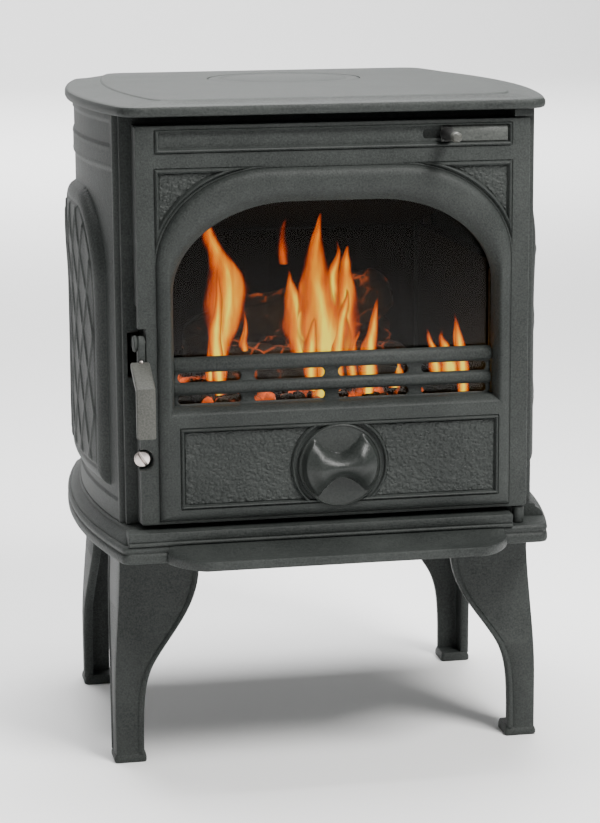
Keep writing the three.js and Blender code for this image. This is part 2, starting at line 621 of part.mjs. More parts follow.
function doorGrille() {
  const { y0, y1, half } = GRILLE;
  const low = WINDOW.bottom + 0.6;
  let grille = box(-half, half, y0, y1, low, GRILLE.bars[1] + GRILLE.thick);
  const posts = [-half, -81, 0, 81, half];
  const slots = [[low + 4, GRILLE.bars[0] + 1], [GRILLE.bars[0] + GRILLE.thick, GRILLE.bars[1]]];
  for (let i = 0; i < 4; i += 1) {
    for (const [z0, z1] of slots) {
      const x0 = posts[i] + 5.5;
      const x1 = posts[i + 1] - 5.5;
      const round = (z1 - z0) / 2;
      const middle = (z0 + z1) / 2;
      const ends = [x0 + round, x1 - round].map((x) => rod(round, [x, y0 - 1, middle], [x, y1 + 1, middle], 12));
      const slot = box(x0 + round, x1 - round, y0 - 1, y1 + 1, z0, z1);
      grille = grille.subtract(slot.add(ends[0]).add(ends[1]));
    }
  }
  return grille;
}
addPiece('door_grille', doorGrille(), castIron);

for (const [name, side] of [['left', -1], ['right', 1]]) {
  const x = side * CLIP.screwX;
  const pad = [side * CLIP.inner, side * (CLIP.inner + 5.5)].sort((a, b) => a - b);
  const strap = [side * CLIP.inner, side * CLIP.outer].sort((a, b) => a - b);
  const back = GLASS.back + 4;
  const clip = box(...pad, GLASS.back + GAP, back, CLIP.bottom, CLIP.top)
    .add(box(...strap, back - 1.7, back, CLIP.bottom, CLIP.top))
    .subtract(rod(1.9, [x, -175, CLIP.screwZ], [x, -160, CLIP.screwZ], 8));
  const head = back + GAP;
  const shank = rod(1.6, [x, -178, CLIP.screwZ], [x, head + 1, CLIP.screwZ], 8);
  addPiece(`glass_clip_${name}`, clip, steel);
  addPiece(`glass_clip_screw_${name}`,
    shank.add(rod(2.5, [x, head, CLIP.screwZ], [x, head + 1.7, CLIP.screwZ], 8)), steel);
}

// ---- hinge ----

addPiece('upper_hinge_pin', rod(HINGE.pinRadius, [HINGE.x, HINGE.y, 605], [HINGE.x, HINGE.y, PLATE_BOTTOM - 1.5]),
  steel);
addPiece('lower_hinge_boss', rod(5.5, [HINGE.x, HINGE.y, BASE.slabTop + GAP], [HINGE.x, HINGE.y, DOOR.bottom - 0.8])
  .subtract(rod(3.2, [HINGE.x, HINGE.y, 236], [HINGE.x, HINGE.y, 260])), castIron);
addPiece('lower_hinge_pin', rod(HINGE.pinRadius, [HINGE.x, HINGE.y, 236.4], [HINGE.x, HINGE.y, 263]), steel);

// ---- latch ----

const LEVER_TOP = 402;
const LEVER_BEND = 384;
const LEVER_END = 339;

function latchHandle() {
  const thick = 5;
  const face = LATCH.reach;
  const plate = outline([[-195, LEVER_TOP + 2], [-198, LEVER_TOP + 2], [face - thick, LEVER_BEND + 2],
    [face - thick, LEVER_END], [face, LEVER_END], [face, LEVER_BEND - 2], [-195, LEVER_TOP - 4]]);
  const lever = alongX(plate, LATCH.left + 1, LATCH.right - 1, { high: 1, wide: 1, steps: 1 });
  const shank = alongX(outline([[-197, 398], [-184, 398], [-180, 410], [-178.8, 423], [-194.6, 423], [-195.5, 410]]),
    -191.5, -181.3);
  const knuckle = rod(8, [-191.5, LATCH.y, LATCH.z], [-181.3, LATCH.y, LATCH.z], 20);
  const tongue = box(-190, -183, -182, -149, 411, 424);
  return lever.add(shank).add(knuckle).add(tongue)
    .subtract(rod(2.8, [-200, LATCH.y, LATCH.z], [-170, LATCH.y, LATCH.z]));
}
addPiece('latch_handle', latchHandle(), leverIron);
addPiece('latch_pivot_pin', rod(2.5, [-191.3, LATCH.y, LATCH.z], [-171.5, LATCH.y, LATCH.z]), steel);
addPiece('latch_keeper', box(-193, -182, BODY.front + 10 + GAP, -146, 424.8, 442), steel);

function latchScrew() {
  const head = rod(7.6, [RECESS.x, -184.6, RECESS.z], [RECESS.x, -180.3, RECESS.z], 20);
  const slot = box(RECESS.x - 9, RECESS.x + 9, -186, -183, RECESS.z - 0.9, RECESS.z + 0.9);
  return head.subtract(slot).add(rod(3, [RECESS.x, -181, RECESS.z], [RECESS.x, -169, RECESS.z], 12));
}
addPiece('latch_screw', latchScrew(), brightSteel);

// ---- air controls ----

addPiece('air_slide', box(101, SLIDE.right - 0.5, DOOR.front + 0.4, DOOR.front + 2.6, 600.4, SLIDE.top - 0.4)
  .subtract(rod(2.3, [106, -200, 607.8], [106, -180, 607.8], 10)), leverIron);

function slideKnob() {
  const tip = -232;
  const face = DOOR.front + 0.1;
  return turned([[0, tip], [4, tip], [4.4, tip + 1], [4.2, -212], [5.6, -200], [6.6, face], [2, face],
    [2, -181.5], [0, -181.5]], 'y', 106, 0, 607.8, 20);
}
addPiece('air_slide_knob', slideKnob(), darkIron);
addPiece('air_slide_nut', rod(4.5, [106, SKIN + 0.4, 607.8], [106, SKIN + 4, 607.8], 6)
  .subtract(rod(2.3, [106, -190, 607.8], [106, -170, 607.8], 10)), steel);

function airDisc() {
  const back = ASH_PANEL.front - 2;
  const disc = turned([[0, back - 4.5], [38.5, back - 4.5], [40, back - 3], [40, back], [0, back]],
    'y', AIR_DISC.x, 0, AIR_DISC.z, 28);
  const grip = new THREE.Shape();
  grip.moveTo(-28, -20);
  grip.quadraticCurveTo(0, 2, 28, -20);
  grip.quadraticCurveTo(36, 0, 28, 20);
  grip.quadraticCurveTo(0, -2, -28, 20);
  grip.quadraticCurveTo(-36, 0, -28, -20);
  const bow = alongY(grip, back - 17, back - 2, { high: 5, wide: 3.5, steps: 2 }, 5);
  const socket = rod(4.2, [AIR_DISC.x, back - 3.5, AIR_DISC.z], [AIR_DISC.x, back + 2, AIR_DISC.z]);
  return disc.add(moved(bow, AIR_DISC.x, 0, AIR_DISC.z)).subtract(socket);
}
addPiece('air_disc', airDisc(), castIron);

function onDiscAxis(radius, y0, y1, sides = 16) {
  return rod(radius, [AIR_DISC.x, y0, AIR_DISC.z], [AIR_DISC.x, y1, AIR_DISC.z], sides);
}

function airShutter() {
  const y0 = ASH_PANEL.front + 7.8;
  let shutter = onDiscAxis(33, y0, y0 + 2.5, 24).subtract(onDiscAxis(4.3, y0 - 1, y0 + 4));
  for (let i = 0; i < 4; i += 1) {
    const angle = Math.PI / 4 + (i * Math.PI) / 2;
    const x = AIR_DISC.x + 22 * Math.cos(angle);
    const z = AIR_DISC.z + 22 * Math.sin(angle);
    shutter = shutter.subtract(rod(6, [x, y0 - 1, z], [x, y0 + 4, z], 12));
  }
  return shutter;
}
addPiece('air_shutter', airShutter(), steel);
addPiece('air_disc_spindle', onDiscAxis(4, -204.2, -180), steel);
addPiece('air_disc_nut', onDiscAxis(7, -188.4, -184, 6).subtract(onDiscAxis(4.3, -190, -175)), steel);

export default stove;
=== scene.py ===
import math

import bmesh
import bpy
import numpy as np
from mathutils import Matrix, Vector, noise
from mathutils.geometry import delaunay_2d_cdt


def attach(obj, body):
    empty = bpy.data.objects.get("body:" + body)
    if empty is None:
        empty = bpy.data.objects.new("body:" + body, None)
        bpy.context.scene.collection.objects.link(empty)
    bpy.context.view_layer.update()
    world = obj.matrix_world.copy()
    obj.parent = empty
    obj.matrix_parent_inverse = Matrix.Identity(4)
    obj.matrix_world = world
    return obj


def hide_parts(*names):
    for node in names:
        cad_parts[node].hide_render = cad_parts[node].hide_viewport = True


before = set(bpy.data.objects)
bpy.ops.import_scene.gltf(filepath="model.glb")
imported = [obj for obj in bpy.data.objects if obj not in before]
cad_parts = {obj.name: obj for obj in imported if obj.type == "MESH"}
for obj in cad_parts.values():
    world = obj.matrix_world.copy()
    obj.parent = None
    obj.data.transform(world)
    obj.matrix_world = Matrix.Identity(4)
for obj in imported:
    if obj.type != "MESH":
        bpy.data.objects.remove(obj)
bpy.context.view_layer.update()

# ---- camera, lights and floor ----
# The stove stands on a pale studio floor that sweeps up behind it. One large soft light hangs
# above and to the right of the door, one hangs over the top plate, and one lights the sweep.

CAMERA_PLACE = Vector((-0.48707, -2.48975, 0.82268))
CAMERA_YAW = 0.194076
CAMERA_PITCH = 0.199068
CAMERA_ROLL = -0.0066776
CAMERA_LENS = 110.98


def aim_camera():
    level = Vector((math.cos(CAMERA_YAW), -math.sin(CAMERA_YAW), 0))
    ahead = Vector((math.sin(CAMERA_YAW) * math.cos(CAMERA_PITCH),
                    math.cos(CAMERA_YAW) * math.cos(CAMERA_PITCH), -math.sin(CAMERA_PITCH)))
    upright = level.cross(ahead)
    right = level * math.cos(CAMERA_ROLL) + upright * math.sin(CAMERA_ROLL)
    up = upright * math.cos(CAMERA_ROLL) - level * math.sin(CAMERA_ROLL)
    turn = Matrix((right, up, -ahead)).transposed().to_4x4()
    turn.translation = CAMERA_PLACE
    return turn


camera = bpy.data.objects.new("studio_camera", bpy.data.cameras.new("studio_camera"))
camera.data.sensor_width = 36
camera.data.lens = CAMERA_LENS
camera.data.clip_end = 60
camera.matrix_world = aim_camera()
bpy.context.scene.collection.objects.link(camera)
bpy.context.scene.camera = camera


def soft_light(name, place, target, width, height, watts, tint):
    lamp = bpy.data.lights.new(name, "AREA")
    lamp.shape = "RECTANGLE"
    lamp.size = width
    lamp.size_y = height
    lamp.energy = watts
    lamp.color = tint
    holder = bpy.data.objects.new(name, lamp)
    holder.location = place
    holder.rotation_mode = "QUATERNION"
    holder.rotation_quaternion = (Vector(target) - Vector(place)).to_track_quat("-Z", "Y")
    bpy.context.scene.collection.objects.link(holder)


soft_light("key_light", (1.0, -1.7, 2.6), (0, -0.15, 0.40), 1.0, 1.0, 150, (1, 0.99, 0.97))
soft_light("top_light", (0.0, 0.6, 2.6), (0, 0, 0.6), 1.6, 1.6, 165, (1, 1, 1))
soft_light("wall_light", (0, 4.6, 4.6), (0, 9.5, 0.8), 6.0, 2.0, 1150, (1, 1, 1))

world = bpy.data.worlds.new("studio")
world.use_nodes = True
world.node_tree.nodes["Background"].inputs["Color"].default_value = (1, 1, 1, 1)
world.node_tree.nodes["Background"].inputs["Strength"].default_value = 0.30
bpy.context.scene.world = world


def sweep_floor():
    half_width, near, bend, radius, tall = 14, -8, 9, 3, 9
    line = [(near, 0), (bend, 0)]
    for step in range(1, 17):
        turn = step / 16 * math.pi / 2
        line.append((bend + radius * math.sin(turn), radius - radius * math.cos(turn)))
    line.append((bend + radius, tall))
    points = [(side * half_width, y, z) for y, z in line for side in (-1, 1)]
    faces = [(2 * i, 2 * i + 1, 2 * i + 3, 2 * i + 2) for i in range(len(line) - 1)]
    mesh = bpy.data.meshes.new("studio_floor")
    mesh.from_pydata(points, [], faces)
    mesh.shade_smooth()
    return bpy.data.objects.new("studio_floor", mesh)


floor = sweep_floor()
bpy.context.scene.collection.objects.link(floor)
floor_paint = bpy.data.materials.new("studio_floor")
floor_paint.use_nodes = True
floor_paint.node_tree.nodes["Principled BSDF"].inputs["Base Color"].default_value = (0.9, 0.9, 0.9, 1)
floor_paint.node_tree.nodes["Principled BSDF"].inputs["Roughness"].default_value = 0.9
floor.data.materials.append(floor_paint)

# ---- top plate ----
# One grey-painted iron casting, bowed at the sides. A rounded nose runs round it, a wide cove
# climbs to the flat field at each side and a narrow one at the front. A round seat takes the
# flue cover. Sizes are millimetres here and below; a mesh is turned to metres as it is made.


class Shell:
    """Points and faces of one casting."""

    def __init__(self):
        self.points = []
        self.faces = []

    def wall(self, rings, closed=True):
        start, count = len(self.points), len(rings[0])
        for ring in rings:
            self.points.extend(tuple(float(c) for c in p) for p in ring)
        for i in range(len(rings) - 1):
            low = start + i * count
            for j in range(count if closed else count - 1):
                k = (j + 1) % count
                self.faces.append((low + j, low + k, low + count + k, low + count + j))

    def fill(self, outline, holes, lift, seeds=()):
        """A face inside the outline and outside the holes, through any seed points."""
        points, edges = [], []
        for loop in [outline, *holes]:
            first = len(points)
            points.extend(Vector((float(u), float(v))) for u, v in loop)
            edges.extend((first + i, first + (i + 1) % len(loop)) for i in range(len(loop)))
        points.extend(Vector((float(u), float(v))) for u, v in seeds)
        flat, _, triangles = delaunay_2d_cdt(points, edges, [], 1, 1e-5, False)[:3]
        place = np.array([tuple(p) for p in flat])
        middle = np.array([place[list(t)].mean(axis=0) for t in triangles])
        keep = inside(outline, middle)
        for hole in holes:
            keep &= ~inside(hole, middle)
        start = len(self.points)
        self.points.extend(lift(u, v) for u, v in place.tolist())
        self.faces.extend(tuple(start + i for i in t) for t, kept in zip(triangles, keep) if kept)

    def cap(self, ring):
        """One flat face that closes a ring."""
        start = len(self.points)
        self.points.extend(ring)
        self.faces.append(tuple(range(start, start + len(ring))))

    def made(self, name, material, sharp=38):
        mesh = bpy.data.meshes.new(name)
        mesh.from_pydata([(x / 1000, y / 1000, z / 1000) for x, y, z in self.points], [], self.faces)
        work = bmesh.new()
        work.from_mesh(mesh)
        bmesh.ops.remove_doubles(work, verts=work.verts, dist=4e-6)
        bmesh.ops.recalc_face_normals(work, faces=work.faces)
        work.to_mesh(mesh)
        work.free()
        mesh.shade_smooth()
        mesh.set_sharp_from_angle(angle=math.radians(sharp))
        mesh.materials.append(material)
        piece = bpy.data.objects.new(name, mesh)
        bpy.context.scene.collection.objects.link(piece)
        return piece


def inside(outline, points):
    """Which points lie inside a closed outline."""
    a = np.asarray(outline, float)
    b = np.roll(a, -1, axis=0)
    u, v = points[:, 0][:, None], points[:, 1][:, None]
    spans = (a[:, 1] > v) != (b[:, 1] > v)
    rise = np.where(b[:, 1] == a[:, 1], 1e-12, b[:, 1] - a[:, 1])
    crossing = a[:, 0] + (v - a[:, 1]) * (b[:, 0] - a[:, 0]) / rise
    return (spans & (u < crossing)).sum(axis=1) % 2 == 1


def inset(outline, depth):
    """The outline moved inward, with mitred corners. A negative depth moves it outward."""
    p = np.asarray(outline, float)
    before = p - np.roll(p, 1, axis=0)
    after = np.roll(p, -1, axis=0) - p
    side = np.sign(np.sum(p[:, 0] * np.roll(p[:, 1], -1) - np.roll(p[:, 0], -1) * p[:, 1]))
    n1 = np.stack([-before[:, 1], before[:, 0]], 1) / np.linalg.norm(before, axis=1)[:, None]
    n2 = np.stack([-after[:, 1], after[:, 0]], 1) / np.linalg.norm(after, axis=1)[:, None]
    mitre = (n1 + n2) / (1 + (n1 * n2).sum(axis=1))[:, None]
    return p + side * depth * mitre


def curve_points(start, control, end, steps):
    """A quadratic curve, without its first point."""
    t = np.linspace(0, 1, steps + 1)[1:, None]
    return (1 - t) ** 2 * np.array(start) + 2 * t * (1 - t) * np.array(control) + t ** 2 * np.array(end)


def bowed(corner, bow, half_depth, ease):
    """Straight front and back, sides bowed outward, corners eased."""
    radius = (half_depth ** 2 + bow ** 2) / (2 * bow)
    centre = corner + bow - radius
    sweep = math.asin((half_depth - ease) / radius)
    arc_x, arc_y = centre + radius * math.cos(sweep), radius * math.sin(sweep)
    along = np.linspace(-corner + ease, corner - ease, 25)
    parts = [np.stack([along, np.full(25, -half_depth)], 1)]
    parts.append(curve_points((corner - ease, -half_depth), (corner, -half_depth), (arc_x, -arc_y), 7))
    turns = np.linspace(-sweep, sweep, 45)[1:]
    parts.append(np.stack([centre + radius * np.cos(turns), radius * np.sin(turns)], 1))
    parts.append(curve_points((arc_x, arc_y), (corner, half_depth), (corner - ease, half_depth), 7))
    right = np.concatenate(parts)
    back = np.stack([along[::-1], np.full(25, half_depth)], 1)[1:]
    left = [curve_points((-corner + ease, half_depth), (-corner, half_depth), (-arc_x, arc_y), 7)]
    left.append(np.stack([-centre - radius * np.cos(turns), -radius * np.sin(turns)], 1))
    left.append(curve_points((-arc_x, -arc_y), (-corner, -half_depth), (-corner + ease, -half_depth),
                             7)[:-1])
    return np.concatenate([right, back, *left])


def at_height(outline, z):
    return [(x, y, z) for x, y in outline]


def circle(cx, cy, radius, steps):
    turns = np.arange(steps) * 2 * math.pi / steps
    return np.stack([cx + radius * np.cos(turns), cy + radius * np.sin(turns)], 1)


def link_nodes(tree, *pairs):
    for source, target in pairs:
        tree.links.new(source, target)


def new_node(tree, kind, values=(), **settings):
    made = tree.nodes.new(kind)
    for key, value in settings.items():
        setattr(made, key, value)
    for key, value in dict(values).items():
        made.inputs[key].default_value = value
    return made


def new_material(name):
    material = bpy.data.materials.new(name)
    material.use_nodes = True
    return material, material.node_tree


def stove_paint(name, dark, light, roughness=0.56, grain=1.0, shine=0.0):
    """Satin stove paint that lets the sand grain of the casting show, a little worn in tone."""
    material, tree = new_material(name)
    surface = tree.nodes["Principled BSDF"]
    where = new_node(tree, "ShaderNodeTexCoord")
    cloud = new_node(tree, "ShaderNodeTexNoise", {"Scale": 14, "Detail": 4, "Roughness": 0.6})
    pores = new_node(tree, "ShaderNodeTexNoise", {"Scale": 560, "Detail": 3, "Roughness": 0.65})
    skin = new_node(tree, "ShaderNodeTexNoise", {"Scale": 170, "Detail": 2, "Roughness": 0.5})
    for texture in (cloud, pores, skin):
        link_nodes(tree, (where.outputs["Object"], texture.inputs["Vector"]))
    blend = new_node(tree, "ShaderNodeMath", {1: 0.75}, operation="MULTIPLY_ADD")
    shift = new_node(tree, "ShaderNodeMath", {1: 0.45}, operation="MULTIPLY")
    ramp = new_node(tree, "ShaderNodeValToRGB")
    for element, position, tone in zip(ramp.color_ramp.elements, (0.36, 0.84), (dark, light)):
        element.position = position
        element.color = (*tone, 1)
    rough = new_node(tree, "ShaderNodeMapRange",
                     {"To Min": roughness - 0.08, "To Max": roughness + 0.1})
    height = new_node(tree, "ShaderNodeMath", {1: 0.6}, operation="MULTIPLY_ADD")
    bump = new_node(tree, "ShaderNodeBump", {"Strength": 0.8, "Distance": 0.0006 * grain})
    link_nodes(
        tree,
        (cloud.outputs["Fac"], shift.inputs[0]),
        (pores.outputs["Fac"], blend.inputs[0]),
        (shift.outputs[0], blend.inputs[2]),
        (blend.outputs[0], ramp.inputs["Fac"]),
        (ramp.outputs["Color"], surface.inputs["Base Color"]),
        (cloud.outputs["Fac"], rough.inputs["Value"]),
        (rough.outputs["Result"], surface.inputs["Roughness"]),
        (skin.outputs["Fac"], height.inputs[0]),
        (pores.outputs["Fac"], height.inputs[2]),
        (height.outputs[0], bump.inputs["Height"]),
        (bump.outputs["Normal"], surface.inputs["Normal"]),
    )
    surface.inputs["Metallic"].default_value = shine
    surface.inputs["Specular IOR Level"].default_value = 0.24
    return material


iron_paint = stove_paint("iron_paint", (0.0065, 0.0083, 0.0078), (0.043, 0.048, 0.045))

PLATE_LOW, PLATE_TOP = 630, 645
PLATE = {"corner": 199, "bow": 27, "half_depth": 201, "ease": 18}
FIELD = {"corner": 167, "bow": 22.5, "half_depth": 190, "ease": 20}
NOSE_DEPTH, NOSE_HEIGHT, COVE_HEIGHT = 4.6, 10, 3.8
COVER_PLACE, COVER_RADIUS = (0, 63), 77
SEAT_DROP, ROUND_STEPS = 6.3, 96


def plate_outline(depth, share):
    """The plate's outline moved in by a depth, then a share of the way to the raised field."""
    rim = bowed(PLATE["corner"] - depth, PLATE["bow"], PLATE["half_depth"] - depth, PLATE["ease"])
    field = bowed(FIELD["corner"], FIELD["bow"], FIELD["half_depth"], FIELD["ease"])
    return rim * (1 - share) + field * share


def build_top_plate():
    shell = Shell()
    nose = [(7, 0), (2.6, 0), (0.9, 0.8), (0.1, 2.6), (0, 5.0), (0.3, 7.2), (1.2, 8.9), (2.9, 9.8),
            (4.6, 10.0)]
    rings = [at_height(plate_outline(depth, 0), PLATE_LOW + rise) for depth, rise in nose]
    for step in range(1, 9):
        share = step / 8
        climb = COVE_HEIGHT * share ** 1.35
        rings.append(at_height(plate_outline(NOSE_DEPTH, share), PLATE_LOW + NOSE_HEIGHT + climb))
    field = plate_outline(NOSE_DEPTH, 1)
    flat = inset(field, 2.2)
    rings.append(at_height(inset(field, 0.7), PLATE_TOP - 0.5))
    rings.append(at_height(flat, PLATE_TOP))
    shell.wall(rings)
    seat = circle(*COVER_PLACE, COVER_RADIUS + 0.95, ROUND_STEPS)
    shell.fill(flat, [seat], lambda x, y: (x, y, PLATE_TOP))
    inner = circle(*COVER_PLACE, COVER_RADIUS - 9, ROUND_STEPS)
    shell.wall([at_height(seat, PLATE_TOP), at_height(seat, PLATE_TOP - SEAT_DROP),
                at_height(inner, PLATE_TOP - SEAT_DROP), at_height(inner, PLATE_LOW)])
    shell.fill(plate_outline(nose[0][0], 0), [inner], lambda x, y: (x, y, PLATE_LOW))
    return shell.made("top_plate_casting", iron_paint, 30)


top_plate = build_top_plate()
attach(top_plate, "stove_body")
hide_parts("top_plate")

# ---- flue cover ----
# A round iron blanking plate that drops into the seat of the top plate, so that the stove can
# use the rear outlet. A bolt and a bar hold it from below.


def turned(profile, axis, centre, steps):
    """Rings of a profile of (radius, height) turned about a line along Y or Z."""
    cx, cy, cz = centre
    rings = []
    for radius, height in profile:
        ring = circle(0, 0, radius, steps)
        if axis == "z":
            rings.append([(cx + u, cy + v, cz + height) for u, v in ring])
        else:
            rings.append([(cx + u, cy + height, cz + v) for u, v in ring])
    return rings


def build_flue_cover():
    shell = Shell()
    profile = [(0.01, -13), (COVER_RADIUS - 9.5, -13), (COVER_RADIUS - 9.5, -6),
               (COVER_RADIUS - 0.6, -6),
               (COVER_RADIUS, -5.4), (COVER_RADIUS, -0.9), (COVER_RADIUS - 0.3, -0.3),
               (COVER_RADIUS - 1, -0.05),
               (COVER_RADIUS - 12, 0), (COVER_RADIUS - 13, -0.5), (COVER_RADIUS - 14, 0), (0.01, 0)]
    shell.wall(turned(profile, "z", (*COVER_PLACE, PLATE_TOP), ROUND_STEPS))
    return shell.made("flue_cover_casting", iron_paint, 30)


flue_cover = build_flue_cover()
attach(flue_cover, "stove_body")
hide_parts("flue_cover")

# ---- bowed side panels ----
# Two iron castings bowed outward. Each has a sunk band under the top plate, a sunk field, and
# in it an arched shield that stands proud and carries a lattice of slim ribs.

PANEL_RADIUS, PANEL_CENTRE = 666.1, -447.1
PANEL_LOW, PANEL_HIGH = 242.3, 629.7
PANEL_FRONT, PANEL_BACK = -151.7, 179.7
PANEL_WALL = 8
SHIELD = {"half": 118, "bottom": 272, "spring": 468, "inset": 34, "rise": 82}


def arch(half, bottom, spring, inset_x, rise, side_steps=14, arc_steps=20, flat_steps=12):
    """Upright sides, a flat crown and an elliptical quarter at each shoulder."""
    across = half - inset_x
    base = [(u, bottom) for u in np.linspace(-half, half, 2 * flat_steps + 1)[:-1]]
    side = [(half, v) for v in np.linspace(bottom, spring, side_steps + 1)[:-1]]
    turns = np.linspace(0, math.pi / 2, arc_steps + 1)
    shoulder = [(inset_x + across * math.cos(t), spring + rise * math.sin(t)) for t in turns]
    crown = [(u, spring + rise) for u in np.linspace(inset_x, -inset_x, flat_steps + 1)[1:-1]]
    far = [(-u, v) for u, v in shoulder[::-1]]
    down = [(-half, v) for v in np.linspace(spring, bottom, side_steps + 1)[1:-1]]
    return np.array(base + side + shoulder + crown + far + down)


def depth_inside(outline, points):
    """Distance of each point to the outline, negative outside it."""
    a = np.asarray(outline, float)
    d = np.roll(a, -1, axis=0) - a
    best = np.full(len(points), 1e9)
    for start, along in zip(a, d):
        rel = points - start
        t = np.clip(rel @ along / (along @ along), 0, 1)
        best = np.minimum(best, np.linalg.norm(rel - t[:, None] * along, axis=1))
    return np.where(inside(outline, points), best, -best)


def ramp(low, high, value):
    t = np.clip((value - low) / (high - low), 0, 1)
    return t * t * (3 - 2 * t)


def sunk_box(points, u0, u1, v0, v1, soft):
    """1 inside the rectangle, 0 outside, with soft walls."""
    u, v = points[:, 0], points[:, 1]
    edge = np.minimum(np.minimum(u - u0, u1 - u), np.minimum(v - v0, v1 - v))
    return ramp(-soft / 2, soft / 2, edge)


def ridge(distance, half_width):
    """A rounded rib of height 1 along distance 0."""
    return np.sqrt(np.clip(1 - (distance / half_width) ** 2, 0, 1))


def lattice_ribs(points):
    pitch, lean, half_width = 40, 1.9, 2.6
    nearest = np.full(len(points), 1e9)
    for way in (-1, 1):
        across = points[:, 0] + way * (points[:, 1] - 300) / lean
        gap = np.abs((across + pitch / 2) % pitch - pitch / 2)
        nearest = np.minimum(nearest, gap * math.cos(math.atan(1 / lean)))
    pocket = 1 - np.clip(nearest / (pitch * 0.31), 0, 1)
    return 1.5 * ridge(nearest, half_width) + 0.9 * pocket


def panel_relief(points):
    y, z = points[:, 0], points[:, 1]
    height = -1.2 * sunk_box(points, -141, 152, 600, 622, 1.6)
    height += 0.4 * ridge(z - 597.5, 1.6) * ramp(-146, -142, y)
    height -= 1.5 * sunk_box(points, -143, 169, 262, 577, 1.8)
    height += 0.35 * ridge(z - 580, 1.5) * ramp(-148, -144, y)
    shield = arch(SHIELD["half"], SHIELD["bottom"], SHIELD["spring"], SHIELD["inset"], SHIELD["rise"])
    depth = depth_inside(shield, points)
    round_over = np.clip(depth / 13, 0, 1)
    proud = np.sqrt(1 - (1 - round_over) ** 2)
    hood = np.exp(-((z - 505) / 42) ** 2) + 0.35 * ramp(520, 300, z)
    height += proud * (8.0 + 2.4 * hood)
    height -= 0.9 * ridge(depth - 15, 1.6)
    height += ramp(16, 19, depth) * lattice_ribs(points) * 0.8
    height += 0.9 * ridge(y - PANEL_FRONT - 3.2, 3.0)
    return height


def build_side_panel(side, name):
    steps_y, steps_z = 200, 228
    y_line = np.linspace(PANEL_FRONT, PANEL_BACK, steps_y)
    z_line = np.linspace(PANEL_LOW, PANEL_HIGH, steps_z)
    grid_y, grid_z = np.meshgrid(y_line, z_line, indexing="ij")
    flat = np.stack([grid_y.ravel(), grid_z.ravel()], 1)
    rise = panel_relief(flat)
    on_edge = (flat[:, 0] < PANEL_FRONT + 0.8) | (flat[:, 0] > PANEL_BACK - 0.8)
    rise = np.where(on_edge, rise - 1.2, rise)
    sweep = np.arcsin(flat[:, 0] / PANEL_RADIUS)
    reach = PANEL_RADIUS + rise
    outer = np.stack([side * (PANEL_CENTRE + reach * np.cos(sweep)), flat[:, 0], flat[:, 1]], 1)
    inner_radius = PANEL_RADIUS - PANEL_WALL
    shell = Shell()
    shell.points = outer.tolist()
    for i in range(steps_y - 1):
        for j in range(steps_z - 1):
            a = i * steps_z + j
            shell.faces.append((a, a + steps_z, a + steps_z + 1, a + 1))
    low_in, high_in = [], []
    for i, y in enumerate(y_line):
        x = side * (PANEL_CENTRE + inner_radius * math.cos(math.asin(y / PANEL_RADIUS)))
        low_in.append(len(shell.points))
        shell.points.append((x, y, PANEL_LOW))
        high_in.append(len(shell.points))
        shell.points.append((x, y, PANEL_HIGH))
    for i in range(steps_y - 1):
        a, b = i * steps_z, (i + 1) * steps_z
        shell.faces.append((low_in[i], low_in[i + 1], b, a))
        shell.faces.append((high_in[i], high_in[i + 1], b + steps_z - 1, a + steps_z - 1))
        shell.faces.append((low_in[i], low_in[i + 1], high_in[i + 1], high_in[i]))
    for i in (0, steps_y - 1):
        column = list(range(i * steps_z, (i + 1) * steps_z))
        shell.faces.append((low_in[i], *column, high_in[i]))
    return shell.made(name, iron_paint, 50)


for side, hand in ((1, "right"), (-1, "left")):
    panel = build_side_panel(side, f"side_panel_{hand}_casting")
    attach(panel, "stove_body")
    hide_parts(f"side_panel_{hand}")

# ---- door casting ----
# One flat iron casting hinged on the right. Its face carries a framed band for the air slide,
# two sunk pebbled spandrels, a broad roll that runs round the window and the ash panel, and a
# pebbled ash panel with a round boss. The rim behind it holds the sealing rope.

DOOR_HALF, DOOR_LOW, DOOR_HIGH = 187.2, 247, 621.4
DOOR_FACE, DOOR_SKIN, DOOR_BACK = -190.7, -182.7, -164
DOOR_MIDDLE = -180.3
ROLL = {"half": 170, "bottom": 250, "spring": 490, "inset_x": 60, "rise": 91}
OPENING = {"half": 154, "bottom": 358, "spring": 465, "inset_x": 40, "rise": 83.6}
LEDGE_LOW, LEDGE_HIGH = 349, 358
ROLL_TOP = -198.3


def rectangle(u0, u1, v0, v1, corner, steps=4):
    """A rectangle with rounded corners, anticlockwise."""
    points = []
    centres = [(u1 - corner, v0 + corner, -90), (u1 - corner, v1 - corner, 0),
               (u0 + corner, v1 - corner, 90), (u0 + corner, v0 + corner, 180)]
    for cu, cv, start in centres:
        for step in range(steps + 1):
            turn = math.radians(start + 90 * step / steps)
            points.append((cu + corner * math.cos(turn), cv + corner * math.sin(turn)))
    return np.array(points)


def at_depth(outline, y):
    return [(u, y, v) for u, v in outline]


def pebbles(u, v, seed):
    """The height of the hammered ground at a point, in millimetres."""
    near = noise.voronoi(Vector((u / 2.9, v / 2.4, seed)))[0][0]
    broad = noise.noise(Vector((u / 5, v / 5, seed + 9)))
    return 1.25 * max(0, 1 - (near / 0.72) ** 2) + 0.35 * broad


